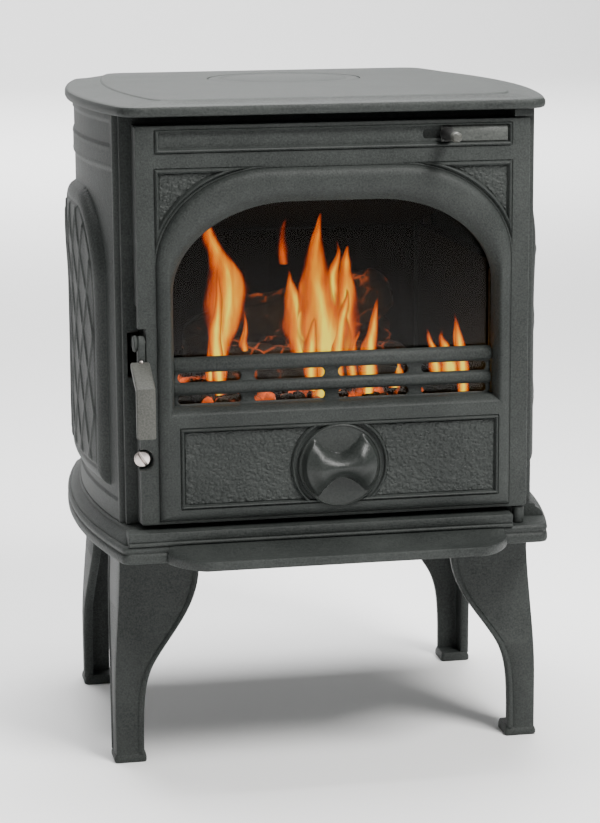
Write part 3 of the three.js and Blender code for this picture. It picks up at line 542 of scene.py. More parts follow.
def hammered(shell, outline, y, seed, step=0.95, holes=()):
    """Fills an outline with a pebbled ground that is flat at its edge."""
    low, high = outline.min(axis=0), outline.max(axis=0)
    u_line = np.arange(low[0], high[0], step)
    v_line = np.arange(low[1], high[1], step)
    grid_u, grid_v = np.meshgrid(u_line, v_line, indexing="ij")
    draw = np.random.default_rng(seed)
    seeds = np.stack([grid_u.ravel(), grid_v.ravel()], 1) + draw.uniform(-0.3, 0.3, (grid_u.size, 2))
    depth = depth_inside(outline, seeds)
    for hole in holes:
        depth = np.minimum(depth, -depth_inside(hole, seeds))
    seeds = seeds[depth > step * 0.55]
    known = {(round(float(np.float32(u)), 3), round(float(np.float32(v)), 3)) for u, v in seeds}

    def lift(u, v):
        raised = pebbles(u, v, seed) if (round(u, 3), round(v, 3)) in known else 0
        return (u, y - raised, v)

    shell.fill(outline, holes, lift, seeds)


def front_layer_outline():
    """The door's outline with the latch notch and the scoop round its screw, from the lower right."""
    corner = 1.6
    points = [(DOOR_HALF, DOOR_LOW + corner), (DOOR_HALF, DOOR_HIGH - corner),
              (DOOR_HALF - corner, DOOR_HIGH),
              (-DOOR_HALF + corner, DOOR_HIGH), (-DOOR_HALF, DOOR_HIGH - corner),
              (-DOOR_HALF, 434), (-180.3, 434), (-180.3, 384), (-DOOR_HALF, 384)]
    scoop_x, scoop_z, scoop_radius = -184.5, 310, 10.2
    start = math.acos((-DOOR_HALF - scoop_x) / scoop_radius)
    for turn in np.linspace(start, -start, 15):
        points.append((scoop_x + scoop_radius * math.cos(turn),
                       scoop_z + scoop_radius * math.sin(turn)))
    points += [(-DOOR_HALF, DOOR_LOW + corner), (-DOOR_HALF + corner, DOOR_LOW),
               (DOOR_HALF - corner, DOOR_LOW)]
    return np.array(points)


def spandrel(side, depth):
    """The outline between the roll and the upper corner, moved in by a depth."""
    grow_a, grow_b = 111 + depth, 92 + depth
    top, flank = 582.4 - depth, 170.6 - depth
    tip_x = 60 + grow_a * math.sqrt(max(0, 1 - ((top - 490) / grow_b) ** 2))
    tip_z = 490 + grow_b * math.sqrt(1 - ((flank - 60) / grow_a) ** 2)
    turn_top = math.atan2((top - 490) / grow_b, (tip_x - 60) / grow_a)
    turn_low = math.atan2((tip_z - 490) / grow_b, (flank - 60) / grow_a)
    curve = [(60 + grow_a * math.cos(t), 490 + grow_b * math.sin(t))
             for t in np.linspace(turn_low, turn_top, 33)]
    edge_top = [(u, top) for u in np.linspace(tip_x, flank, 13)[1:]]
    edge_side = [(flank, v) for v in np.linspace(top, tip_z, 13)[1:-1]]
    points = np.array(curve + edge_top + edge_side)
    return points * np.array([side, 1])


RIGHT_FOOT, SHOULDERS, LEFT_FOOT = slice(24, 38), slice(38, 91), slice(91, 104)


def upper_path(outline, level, crest):
    """The part of an arch above a level, from its right foot round to its left foot."""
    spring = crest[SHOULDERS][0][1]
    shares = [0.0] + [(v - LEDGE_LOW) / (spring - LEDGE_LOW) for _, v in crest[RIGHT_FOOT]
                      if v > LEDGE_LOW + 0.5]
    half, top = outline[SHOULDERS][0]
    right = [(half, level + share * (top - level)) for share in shares]
    left = [(-u, v) for u, v in right[::-1]]
    return np.array(right + [tuple(p) for p in outline[SHOULDERS]] + left)


def build_door_front():
    shell = Shell()
    outline = front_layer_outline()
    roll = arch(**ROLL)
    band = rectangle(-169.8, 170.2, 595.4, 617.6, 1.5)
    holes = [band, spandrel(1, 0), spandrel(-1, 0), roll]
    shell.fill(inset(outline, 1.5), holes, lambda u, v: (u, DOOR_FACE, v))
    shell.wall([at_depth(inset(outline, 1.5), DOOR_FACE),
                at_depth(inset(outline, 0.5), DOOR_FACE + 0.4),
                at_depth(outline, DOOR_FACE + 1.6), at_depth(outline, DOOR_MIDDLE)])

    # framed band with the sunk way of the air slide
    sunk = rectangle(-164.4, 165.9, 600.3, 615.3, 0.8)
    steps = [(0, 0), (0.12, 0.9), (0.27, -1.1), (0.48, -2.3), (0.70, -1.7), (0.87, 0.9), (1, 2.0)]
    shell.wall([at_depth(band * (1 - t) + sunk * t, DOOR_FACE + y) for t, y in steps])
    slide_way = rectangle(80.6, 165.7, 600.5, 615.15, 0.8)
    air_slot = rectangle(84, 128, 603.5, 612, 3)
    shell.fill(sunk, [slide_way], lambda u, v: (u, DOOR_FACE + 2.0, v))
    shell.wall([at_depth(slide_way, DOOR_FACE + 2.0), at_depth(slide_way, DOOR_FACE + 3.0)])
    shell.fill(slide_way, [air_slot], lambda u, v: (u, DOOR_FACE + 3.0, v))
    shell.wall([at_depth(air_slot, DOOR_FACE + 3.0), at_depth(air_slot, DOOR_SKIN)])
    shell.fill(air_slot, [], lambda u, v: (u, DOOR_SKIN, v))

    # spandrels
    for side in (1, -1):
        steps = [(0, 0), (0.8, 0.9), (1.7, -1.2), (2.8, -2.2), (3.8, -1.5), (4.8, 1.5), (5.4, 2.3)]
        shell.wall([at_depth(spandrel(side, d), DOOR_FACE + y) for d, y in steps])
        hammered(shell, spandrel(side, 5.4), DOOR_FACE + 2.3, 11 + side)

    # the roll round window and ash panel
    steps = [(0, DOOR_FACE), (0.4, -190.2), (0.9, -192.0), (2.0, -194.4), (3.8, -196.3), (6.2, -197.6),
             (9.2, ROLL_TOP)]
    shell.wall([at_depth(inset(roll, d), y) for d, y in steps])

    # from the roll's top into the window, and the sloping ledge under it
    crest = inset(roll, 9.2)
    outer = upper_path(crest, LEDGE_LOW, crest)
    inner = upper_path(arch(**OPENING), LEDGE_HIGH, crest)
    rings = []
    for share in np.linspace(0, 1, 13):
        y = ROLL_TOP - 0.35 * math.sin(share * math.pi) + 10.3 * (1 - math.cos(share ** 1.5 * math.pi / 2))
        rings.append([(u, y, v) for u, v in outer * (1 - share) + inner * share])
    shell.wall(rings, closed=False)
    shell.wall([[ring[-1] for ring in rings], [ring[0] for ring in rings]], closed=False)
    shell.wall([at_depth(inner, rings[-1][0][1]), at_depth(inner, DOOR_MIDDLE)])

    # ash panel: a flat border, a bead, pebbled ground and the ring round the air disc
    low = crest[:24]
    right = [tuple(p) for p in crest[RIGHT_FOOT] if p[1] < LEDGE_LOW - 0.5]
    left = [tuple(p) for p in crest[LEFT_FOOT] if p[1] < LEDGE_LOW - 0.5]
    panel = np.array([tuple(p) for p in low] + right + [tuple(outer[0]), tuple(outer[-1])] + left)
    bead = rectangle(-150.8, 157.2, 262.0, 340.4, 1.2)
    shell.fill(panel, [bead], lambda u, v: (u, ROLL_TOP, v))
    steps = [(0, 0), (0.7, 1.1), (1.4, -0.7), (2.3, -1.6), (3.2, -1.0), (4.0, 1.8), (4.6, 2.6)]
    shell.wall([at_depth(inset(bead, d), ROLL_TOP + y) for d, y in steps])
    ground = inset(bead, 4.6)

    def ring_outline(radius):
        around = circle(DISC_X, DISC_Z, radius, 96)
        return np.stack([around[:, 0],
                         np.clip(around[:, 1], ground[:, 1].min() + 0.4, ground[:, 1].max() - 0.4)], 1)

    hammered(shell, ground, ROLL_TOP + 2.6, 31, holes=[ring_outline(46.8)])
    steps = [(46.8, 2.6), (46.2, -0.4), (45.3, -1.4), (44.3, -0.9), (43.4, 1.4), (42.6, 1.9)]
    shell.wall([at_depth(ring_outline(radius), ROLL_TOP + y) for radius, y in steps])
    shell.fill(ring_outline(42.6), [], lambda u, v: (u, ROLL_TOP + 1.9, v))

    # behind: the air chamber of the ash panel, with four ports
    chamber = rectangle(-138, 138, 262, 338, 3)
    shell.fill(outline, [inner, chamber], lambda u, v: (u, DOOR_MIDDLE, v))
    shell.wall([at_depth(chamber, DOOR_MIDDLE), at_depth(chamber, -191.5)])
    ports = [circle(DISC_X + 22 * math.cos(t), DISC_Z + 22 * math.sin(t), 6, 20)
             for t in np.arange(4) * math.pi / 2 + math.pi / 4]
    shell.fill(chamber, ports, lambda u, v: (u, -191.5, v))
    for port in ports:
        shell.wall([at_depth(port, -191.5), at_depth(port, -195)])
        shell.fill(port, [], lambda u, v: (u, -195, v))
    return shell, inner


def slab(shell, outline, holes, y0, y1, ease=0.8):
    """A flat layer between two depths, with its edges eased on the y1 side."""
    way = 1 if y1 > y0 else -1
    for loop, inward in [(outline, 1), *((hole, -1) for hole in holes)]:
        shell.wall([at_depth(loop, y0), at_depth(loop, y1 - way * ease),
                    at_depth(inset(loop, inward * ease * 0.3), y1 - way * ease * 0.3),
                    at_depth(inset(loop, inward * ease), y1)])
    shell.fill(outline, holes, lambda u, v: (u, y0, v))
    shell.fill(inset(outline, ease), [inset(hole, -ease) for hole in holes], lambda u, v: (u, y1, v))


def add_door_back(shell, window):
    """The outer rim, open at the latch, the floor and inner rib of the rope channel, and the glass seat."""
    def frame_outline(depth):
        return rectangle(-DOOR_HALF + depth, DOOR_HALF - depth, DOOR_LOW + depth, DOOR_HIGH - depth,
                         1.6)

    rim = [(-DOOR_HALF, 454), (-DOOR_HALF, DOOR_HIGH), (DOOR_HALF, DOOR_HIGH), (DOOR_HALF, DOOR_LOW),
           (-DOOR_HALF, DOOR_LOW), (-DOOR_HALF, 384), (-DOOR_HALF + 7, 384),
           (-DOOR_HALF + 7, DOOR_LOW + 7),
           (DOOR_HALF - 7, DOOR_LOW + 7), (DOOR_HALF - 7, DOOR_HIGH - 7),
           (-DOOR_HALF + 7, DOOR_HIGH - 7),
           (-DOOR_HALF + 7, 454)]
    slab(shell, np.array(rim[::-1]), [], DOOR_MIDDLE, DOOR_BACK)
    slab(shell, frame_outline(7), [frame_outline(16.4)], DOOR_MIDDLE, -171.3, 0.3)
    slab(shell, frame_outline(16.4), [frame_outline(21.4)], DOOR_MIDDLE, -167, 1.2)
    grown = arch(OPENING["half"] + 9, OPENING["bottom"] - 9, OPENING["spring"], OPENING["inset_x"],
                 OPENING["rise"] + 9)
    slab(shell, grown, [window], DOOR_MIDDLE, -175.5)


DISC_X, DISC_Z = 1.5, 298.7
door_shell, window_edge = build_door_front()
add_door_back(door_shell, window_edge)
door_casting = door_shell.made("door_casting", iron_paint, 34)
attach(door_casting, "door")
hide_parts("door_frame")

# ---- door grille ----
# Two round-fronted iron rails with three short posts set back between them, cast in one and
# set across the foot of the window.

GRILLE_REAR, GRILLE_WEB = -176, -178.6
RAILS = ((396.6, 7.4, -184.6), (373.8, 6.2, -183.6))
GRILLE_SLOTS = ((358.8, 367.8), (379.6, 389.4))
SLOT_ENDS = ((-149, -89), (-76.5, -8.5), (4.5, 72.5), (85.5, 149))


def along_x(profile, x0, x1, ease=0.8):
    """A bar with a profile of (y, z), its ends eased."""
    section = np.array(profile)
    small = inset(section, ease)
    stations = [(x0, small), (x0 + ease, section), (x1 - ease, section), (x1, small)]
    shell = Shell()
    shell.wall([[(x, y, z) for y, z in loop] for x, loop in stations])
    for x, loop in (stations[0], stations[-1]):
        shell.fill(loop, [], lambda y, z, x=x: (x, y, z))
    return shell


def build_grille_web():
    shell = Shell()
    outline = rectangle(-153.3, 153.3, 356.4, 403, 2)
    slots = [rectangle(left, right, low, high, (high - low) / 2 - 0.05, steps=7)
             for low, high in GRILLE_SLOTS for left, right in SLOT_ENDS]
    for loop, inward in [(outline, 1), *((slot, -1) for slot in slots)]:
        shell.wall([at_depth(inset(loop, inward * 0.6), GRILLE_REAR), at_depth(loop, GRILLE_REAR - 0.7),
                    at_depth(loop, GRILLE_WEB + 1), at_depth(inset(loop, inward), GRILLE_WEB)])
    shell.fill(inset(outline, 0.6), [inset(s, -0.6) for s in slots], lambda u, v: (u, GRILLE_REAR, v))
    shell.fill(inset(outline, 1), [inset(s, -1) for s in slots], lambda u, v: (u, GRILLE_WEB, v))
    return shell.made("door_grille_web", iron_paint, 45)


def build_rail(name, level, half, front):
    """A rail with a flat back and a full, round front."""
    turns = np.linspace(-math.pi / 2, math.pi / 2, 15)
    depth = GRILLE_REAR - 1 - front
    profile = [(GRILLE_REAR - 1 - depth * math.cos(t) ** 0.8, level - half * math.sin(t))
               for t in turns]
    return along_x(profile, -153.3, 153.3).made(name, iron_paint, 50)


grille_web = build_grille_web()
upper_rail = build_rail("door_grille_upper_rail", *RAILS[0])
lower_rail = build_rail("door_grille_lower_rail", *RAILS[1])
for piece in (grille_web, upper_rail, lower_rail):
    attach(piece, "door")
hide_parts("door_grille")

# ---- air disc ----
# A round iron disc on the ash panel that turns to open the primary air. A bow-shaped grip, cast
# on its face, is wide at both ends and pinched in the middle for the fingers.


DISC_FACE = -200.6


def grip_height(u, v):
    tilt = math.radians(4)
    along = u * math.cos(tilt) + v * math.sin(tilt)
    across = -u * math.sin(tilt) + v * math.cos(tilt)
    half = 11.5 + 17.5 * np.minimum(np.abs(along) / 24, 1.4) ** 1.8
    share = np.clip(np.abs(across) / half, 0, 1)
    radius = np.hypot(u, v)
    ends = 1 - 0.45 * ramp(20, 36, radius)
    return 15 * (1 - share ** 1.7) ** 0.72 * ends * (1 - ramp(33.5, 37.6, radius))


def build_air_disc():
    shell = Shell()
    steps = 144
    rim = [(0.01, -197.6), (38.6, -197.6), (39.6, -198), (40, -198.8), (40, -200.2), (39.7, -201.1),
           (38.9, -201.7),
           (38.2, -201.5), (37.8, DISC_FACE)]
    rings = turned(rim, "y", (DISC_X, 0, DISC_Z), steps)
    for radius in np.linspace(37.6, 0.01, 60):
        ring = circle(0, 0, radius, steps)
        rise = grip_height(ring[:, 0], ring[:, 1])
        rings.append([(DISC_X + u, DISC_FACE - h, DISC_Z + v) for (u, v), h in zip(ring, rise)])
    shell.wall(rings)
    return shell.made("air_disc_casting", disc_paint, 50)


disc_paint = stove_paint("disc_paint", (0.008, 0.010, 0.0095), (0.034, 0.038, 0.035), 0.34, 0.45)
air_disc = build_air_disc()
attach(air_disc, "primary_air")
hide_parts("air_disc")

# ---- latch lever and its screw ----
# A bent iron lever with a round knuckle that swings on a pin in the door's edge, held by a
# rivet. Below it a bright slotted screw sits in a scoop of the stile.


def softened(node_name, name, material, width, segments=3, angle=28):
    """A copy of a CAD part with its cast or filed edges rounded."""
    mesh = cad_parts[node_name].data.copy()
    work = bmesh.new()
    work.from_mesh(mesh)
    bmesh.ops.remove_doubles(work, verts=work.verts, dist=1e-6)
    bmesh.ops.dissolve_limit(work, angle_limit=math.radians(0.5), verts=work.verts, edges=work.edges)
    work.to_mesh(mesh)
    work.free()
    mesh.materials.clear()
    mesh.materials.append(material)
    rough = bpy.data.objects.new(name + "_rough", mesh)
    bpy.context.scene.collection.objects.link(rough)
    bevel = rough.modifiers.new("rounding", "BEVEL")
    bevel.width = width / 1000
    bevel.segments = segments
    bevel.limit_method = "ANGLE"
    bevel.angle_limit = math.radians(angle)
    bevel.use_clamp_overlap = True
    graph = bpy.context.evaluated_depsgraph_get()
    done = bpy.data.meshes.new_from_object(rough.evaluated_get(graph))
    bpy.data.objects.remove(rough)
    done.shade_smooth()
    done.set_sharp_from_angle(angle=math.radians(50))
    piece = bpy.data.objects.new(name, done)
    bpy.context.scene.collection.objects.link(piece)
    return piece


def bare_metal(name, color, roughness, scratch=0.25):
    """Turned or drawn metal with fine scratches and dull patches."""
    material, tree = new_material(name)
    surface = tree.nodes["Principled BSDF"]
    surface.inputs["Metallic"].default_value = 1
    where = new_node(tree, "ShaderNodeTexCoord")
    stretch = new_node(tree, "ShaderNodeMapping", {"Scale": (1, 1, 6)})
    marks = new_node(tree, "ShaderNodeTexNoise", {"Scale": 900, "Detail": 3})
    patches = new_node(tree, "ShaderNodeTexNoise", {"Scale": 90, "Detail": 3})
    tone = new_node(tree, "ShaderNodeValToRGB")
    tone.color_ramp.elements[0].position = 0.3
    tone.color_ramp.elements[0].color = (*[c * 0.55 for c in color], 1)
    tone.color_ramp.elements[1].position = 0.65
    tone.color_ramp.elements[1].color = (*color, 1)
    rough = new_node(tree, "ShaderNodeMapRange",
                     {"To Min": roughness + 0.15, "To Max": roughness - 0.05})
    bump = new_node(tree, "ShaderNodeBump", {"Strength": scratch, "Distance": 0.0001})
    link_nodes(
        tree,
        (where.outputs["Object"], stretch.inputs["Vector"]),
        (stretch.outputs["Vector"], marks.inputs["Vector"]),
        (where.outputs["Object"], patches.inputs["Vector"]),
        (patches.outputs["Fac"], tone.inputs["Fac"]),
        (tone.outputs["Color"], surface.inputs["Base Color"]),
        (patches.outputs["Fac"], rough.inputs["Value"]),
        (rough.outputs["Result"], surface.inputs["Roughness"]),
        (marks.outputs["Fac"], bump.inputs["Height"]),
        (bump.outputs["Normal"], surface.inputs["Normal"]),
    )
    return material


lever_paint = stove_paint("lever_paint", (0.030, 0.031, 0.028), (0.105, 0.106, 0.096), 0.42, 0.5, 0.1)
dull_steel = bare_metal("dull_steel", (0.12, 0.12, 0.115), 0.5, 0.1)
bright_steel = bare_metal("bright_steel", (0.78, 0.70, 0.66), 0.28)

LEVER_RIGHT, LEVER_LEFT = -177.8, -195.6
LEVER_BEND = [(-195, 404), (-198, 404), (-234, 386), (-234, 339), (-229, 339), (-229, 382), (-195, 398)]
SHANK = [(-195, 399), (-183, 399), (-183, 418), (-184.5, 424), (-187.5, 427.5), (-191, 428),
         (-194, 425.5),
         (-195.6, 421), (-195.2, 410)]
KNUCKLE = (-187.2, 420.5, 7.6)
lever_bar = along_x(LEVER_BEND, LEVER_LEFT, LEVER_RIGHT, 1.2).made("latch_lever_bar", lever_paint, 30)
shank_bar = along_x(SHANK, -188.2, -181.4, 1.3).made("latch_shank", iron_paint, 40)
around = np.linspace(0, 2 * math.pi, 33)[:-1]
knuckle_section = [(KNUCKLE[0] + KNUCKLE[2] * math.cos(t), KNUCKLE[1] + KNUCKLE[2] * math.sin(t))
                   for t in around]
latch_knuckle = along_x(knuckle_section, -192, -188.4, 1.0).made("latch_knuckle", iron_paint, 40)
TONGUE = [(-183.5, 411.5), (-149, 411.5), (-149, 424), (-183.5, 424)]
latch_tongue = along_x(TONGUE, -190, -183, 1.0).made("latch_tongue", iron_paint, 40)
for piece in (lever_bar, shank_bar, latch_knuckle, latch_tongue):
    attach(piece, "latch")
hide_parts("latch_handle")

latch_rivet_shell = Shell()
latch_rivet_shell.wall(turned([(0.01, 0), (1.7, 0), (1.7, -1.4), (1.3, -2.1), (0.7, -2.5),
                               (0.01, -2.6)], "y",
                              (-185.6, -197.2, 404.6), 20))
latch_rivet = latch_rivet_shell.made("latch_rivet", bright_steel)
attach(latch_rivet, "latch")

stile_screw = softened("latch_screw", "stile_screw", bright_steel, 0.9, 3, 40)
screw_axis = Vector((-0.1845, 0, 0.310))
stile_screw.data.transform(Matrix.Translation(screw_axis) @ Matrix.Rotation(math.radians(58), 4, "Y")
                           @ Matrix.Translation(-screw_axis))
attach(stile_screw, "door")
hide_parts("latch_screw")

# ---- air slide and its knob ----
# A thin iron strip that slides in the band over the window, moved by a short turned knob.

slide_paint = stove_paint("slide_paint", (0.030, 0.033, 0.031), (0.088, 0.093, 0.086), 0.40, 0.4)
air_slide = softened("air_slide", "air_slide_strip", slide_paint, 0.5, 2)
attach(air_slide, "secondary_air")
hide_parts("air_slide")

black_paint = stove_paint("black_paint", (0.012, 0.012, 0.012), (0.035, 0.035, 0.034), 0.35, 0.3)
KNOB = [(0.01, -181.5), (2, -181.5), (2, -190.6), (6.4, -190.6), (6.7, -191.6), (6.6, -194),
        (5.6, -197), (4.9, -201),
        (4.6, -214), (4.5, -221), (4.8, -223), (5.0, -226), (4.8, -229), (4.1, -231), (2.6, -232),
        (0.01, -232)]
knob_shell = Shell()
knob_shell.wall(turned(KNOB[:10], "y", (106, 0, 607.8), 36))
slide_knob = knob_shell.made("slide_knob_stem", black_paint)
tip_shell = Shell()
tip_shell.wall(turned([(0.01, -220.8), (4.45, -220.8), *KNOB[10:]], "y", (106, 0, 607.8), 36))
knob_tip = tip_shell.made("slide_knob_tip", lever_paint)
for piece in (slide_knob, knob_tip):
    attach(piece, "secondary_air")
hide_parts("air_slide_knob")

# ---- glass ----
# A flat pane of clear ceramic glass, cut to the arch of the window.

glass = bpy.data.materials.new("ceramic_glass")
glass.use_nodes = True
glass_surface = glass.node_tree.nodes["Principled BSDF"]
glass_surface.inputs["Roughness"].default_value = 0
glass_surface.inputs["IOR"].default_value = 1.2
glass_surface.inputs["Transmission Weight"].default_value = 1
smear = new_node(glass.node_tree, "ShaderNodeTexNoise", {"Scale": 24, "Detail": 5})
smear_where = new_node(glass.node_tree, "ShaderNodeTexCoord")
smear_tone = new_node(glass.node_tree, "ShaderNodeValToRGB")
smear_tone.color_ramp.elements[0].color = (0.93, 0.92, 0.90, 1)
smear_tone.color_ramp.elements[1].color = (0.80, 0.78, 0.74, 1)
link_nodes(
    glass.node_tree,
    (smear_where.outputs["Object"], smear.inputs["Vector"]),
    (smear.outputs["Fac"], smear_tone.inputs["Fac"]),
    (smear_tone.outputs["Color"], glass_surface.inputs["Base Color"]),
)
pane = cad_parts["door_glass"]
pane.data.materials.clear()
pane.data.materials.append(glass)

# ---- hearth plate ----
# The iron base: a slab with an ogee edge that follows the bowed sides, a sill in front of the
# door, a boss for the lower hinge, and a curved lip that keeps the ash off the floor.

BASE = {"corner": 206, "bow": 27, "half_depth": 200, "ease": 6}
BASE_LOW, SLAB_TOP, BASE_TOP = 212, 229.5, 242
HINGE_CUT_X, HINGE_CUT_Y = 171.5, -162.3


def build_hearth_plate():
    shell = Shell()
    profile = [(9, 212), (2.0, 212), (0.8, 212.6), (0.2, 213.8), (0, 215.5), (0, 218.5), (0.5, 220.5),
               (1.6, 221.6),
               (1.6, 222.6), (0.7, 223.6), (0.2, 225.2), (0.2, 226.6), (0.9, 228.4), (2.4, 229.5)]
    top = [(3.6, 229.7), (4.2, 231.0), (5.2, 233.4), (7.6, 236.2), (11, 238.2), (12, 238.6),
           (12.3, 239.4),
           (12.8, 241.2), (14, 242)]

    def base_outline(depth):
        return bowed(BASE["corner"] - depth, BASE["bow"], BASE["half_depth"] - depth,
                     BASE["ease"] + 0.3 * depth)

    first = base_outline(0)
    cut = [i for i, (x, y) in enumerate(first) if x > HINGE_CUT_X and y < HINGE_CUT_Y]

    def notched(depth):
        """The outline with the right front corner left out for the hinge."""
        ring = base_outline(depth)
        side_x = ring[cut[-1] + 1][0]
        front_y = ring[cut[0]][1]
        down, across = HINGE_CUT_Y - front_y, side_x - HINGE_CUT_X
        for step, i in enumerate(cut):
            reach = (down + across) * step / (len(cut) - 1)
            if reach < down:
                ring[i] = (HINGE_CUT_X, front_y + reach)
            else:
                ring[i] = (HINGE_CUT_X + reach - down, HINGE_CUT_Y)
        return ring

    shell.wall([at_height(base_outline(depth), z) for depth, z in profile])
    shell.fill(base_outline(profile[0][0]), [], lambda x, y: (x, y, BASE_LOW))
    shell.fill(base_outline(profile[-1][0]), [], lambda x, y: (x, y, SLAB_TOP))
    step_ring = notched(top[0][0])
    shell.wall([at_height(step_ring, SLAB_TOP - 1)]
               + [at_height(notched(depth), z) for depth, z in top])
    shell.fill(step_ring, [], lambda x, y: (x, y, SLAB_TOP - 1))
    shell.fill(notched(top[-1][0]), [], lambda x, y: (x, y, BASE_TOP))
    return shell.made("hearth_plate_casting", iron_paint, 34)


def build_sill():
    bead = [(-199.6 - 2.0 * math.sin(t), 230.9 - 1.9 * math.cos(t)) for t in np.linspace(0, math.pi, 9)]
    front = [(-199.8, 233.2), (-200.4, 234.2), (-200.6, 240.2), (-199.9, 241.6), (-198.4, 242.2)]
    section = [(-182, 229.6), *bead, *front, (-182, 242.2)]
    return along_x(section[::-1], -201.2, 171.3).made("hearth_sill", iron_paint, 34)


def build_ash_lip():
    """A swept lip: its edge runs straight across and bends back to the slab at both ends."""
    straight = [(x, -240.8) for x in np.linspace(-134, 134, 41)]
    right = curve_points((134, -240.8), (153, -232), (164.5, -203), 12)
    edge = np.concatenate([right[::-1] * (-1, 1), straight, right])
    root = [(x * 0.985, -198.5) for x, _ in edge]
    profile = [(0.0, 212.3), (0.45, 212.2), (0.92, 212.0), (0.985, 212.5), (1.0, 213.6), (1.0, 219.6),
               (0.985, 221.0),
               (0.95, 221.6), (0.90, 221.5), (0.78, 221.9), (0.62, 223.0), (0.45, 224.7), (0.28, 226.8),
               (0.12, 228.3),
               (0.0, 228.8)]
    rings = []
    for share, z in profile:
        rings.append([(rx + (ex - rx) * share, ry + (ey - ry) * share, z)
                      for (rx, ry), (ex, ey) in zip(root, edge)])
    shell = Shell()
    shell.wall(rings + [rings[0]], closed=False)
    for end in (0, -1):
        shell.cap([ring[end] for ring in rings])
    return shell.made("ash_lip", iron_paint, 40)


hearth_plate = build_hearth_plate()
hearth_sill = build_sill()
ash_lip = build_ash_lip()
for piece in (hearth_plate, hearth_sill, ash_lip):
    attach(piece, "stove_body")
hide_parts("base_plate")

# ---- front frame, hinge lug and hinge boss ----
# The iron frame behind the door, with the upper hinge lug cast on it. The lower pin stands in
# a small boss on the hearth plate.

for node_name, piece_name, width in (("front_frame", "front_frame_casting", 1.6),
                                     ("lower_hinge_boss", "hinge_boss_casting", 0.8),
                                     ("back_plate", "back_plate_casting", 1.5),
                                     ("flue_collar", "flue_collar_casting", 0.9)):
    piece = softened(node_name, piece_name, iron_paint, width)
    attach(piece, "stove_body")
    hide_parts(node_name)

# ---- legs ----
# Four short cabriole legs, each an iron angle with two flanges. The inner edge of a flange
# runs in a long S and carries a rolled bead, and the foot spreads to a small lipped pad.

LEG_CORNER, LEG_FRONT_Y, LEG_BACK_Y = 203, -139, 133
LEG_TOP = 221.2
LEG_FLARE = 8


def flare(z):
    down = min(max((212 - z) / 150, 0), 1)
    return LEG_FLARE * down * down * (3 - 2 * down)


def leg_edge():
    """The inner S edge of a flange, from the foot up: (distance from the corner, height)."""
    def cubic(p0, p1, p2, p3, steps):
        t = np.linspace(0, 1, steps + 1)[1:, None]
        return ((1 - t) ** 3 * np.array(p0) + 3 * t * (1 - t) ** 2 * np.array(p1)
                + 3 * t * t * (1 - t) * np.array(p2) + t ** 3 * np.array(p3))

    lower = cubic((28, 20), (28, 60), (30, 82), (38, 98), 12)
    upper = cubic((38, 98), (54, 128), (78, 150), (78, 190), 16)
    return np.concatenate([[(28, 8), (28, 20)], lower, upper, [(78, LEG_TOP)]])


def leg_section(reach):
    """Half of an L section, from the rounded outer corner out along one flange and back inside."""
    roll = 5.6
    return [(1.6, 0.55), (3.4, 0.1), (5.5, 0.0), (reach - roll - 1.2, 0.0), (reach - roll - 0.5, 0.55),
            (reach - roll + 0.3, 0.15), (reach - roll + 1.4, -0.9), (reach - 2.6, -1.3),
            (reach - 1.0, -0.8),
            (reach - 0.2, 0.5), (reach, 2.2), (reach, 7.0), (reach - 0.9, 8.0), (12.5, 8.0), (9.2, 8.6)]


def build_leg(name, side, end):
    """side is -1 for the left, end is -1 for the front."""
    corner_y = LEG_FRONT_Y if end < 0 else LEG_BACK_Y
    shell = Shell()

    def place(u, v, z):
        out = flare(z)
        return (side * (LEG_CORNER + out - u), corner_y + end * (out - v), z)

    rings = []
    for reach, height in leg_edge():
        half = leg_section(reach)
        outline = [(v, u) for u, v in half[::-1]] + [(0.65, 0.65)] + half
        rings.append([place(u, v, height) for u, v in outline])
    shell.wall(rings)
    shell.cap(rings[0])
    shell.cap(rings[-1])
    pad = [(0.0, 0.0), (-0.9, 0.5), (-1.4, 1.6), (-1.4, 4.4), (-0.9, 6.2), (0.1, 8.2), (0.9, 9.5)]
    rings = []
    for spread, z in pad:
        ring = rectangle(spread, 29.4 - spread * 0.5, spread, 29.4 - spread * 0.5, 3.0)
        rings.append([place(u, v, z) for u, v in ring])
    shell.wall(rings)
    shell.cap(rings[0])
    shell.cap(rings[-1])
    seat = rectangle(3, 62, 3, 62, 3)
    rings = [[(side * (LEG_CORNER - u), corner_y - end * v, z) for u, v in seat]
             for z in (LEG_TOP - 7, LEG_TOP - 0.1)]
    shell.wall(rings)
    shell.cap(rings[0])
    shell.cap(rings[-1])
    return shell.made(name, iron_paint, 42)


for side, hand in ((-1, "left"), (1, "right")):
    for end, where in ((-1, "front"), (1, "back")):
        leg = build_leg(f"leg_{where}_{hand}_casting", side, end)
        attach(leg, "stove_body")
        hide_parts(f"leg_{where}_{hand}")

# ---- sealing ropes ----
# A braided glass-fibre rope lies in the channel of the door, and a thinner braid beds the
# glass. Strands wind round a path; the tree is baked into plain mesh.

SEAL_ROPE_DEPTH, GASKET_DEPTH = -166.8, -174.3


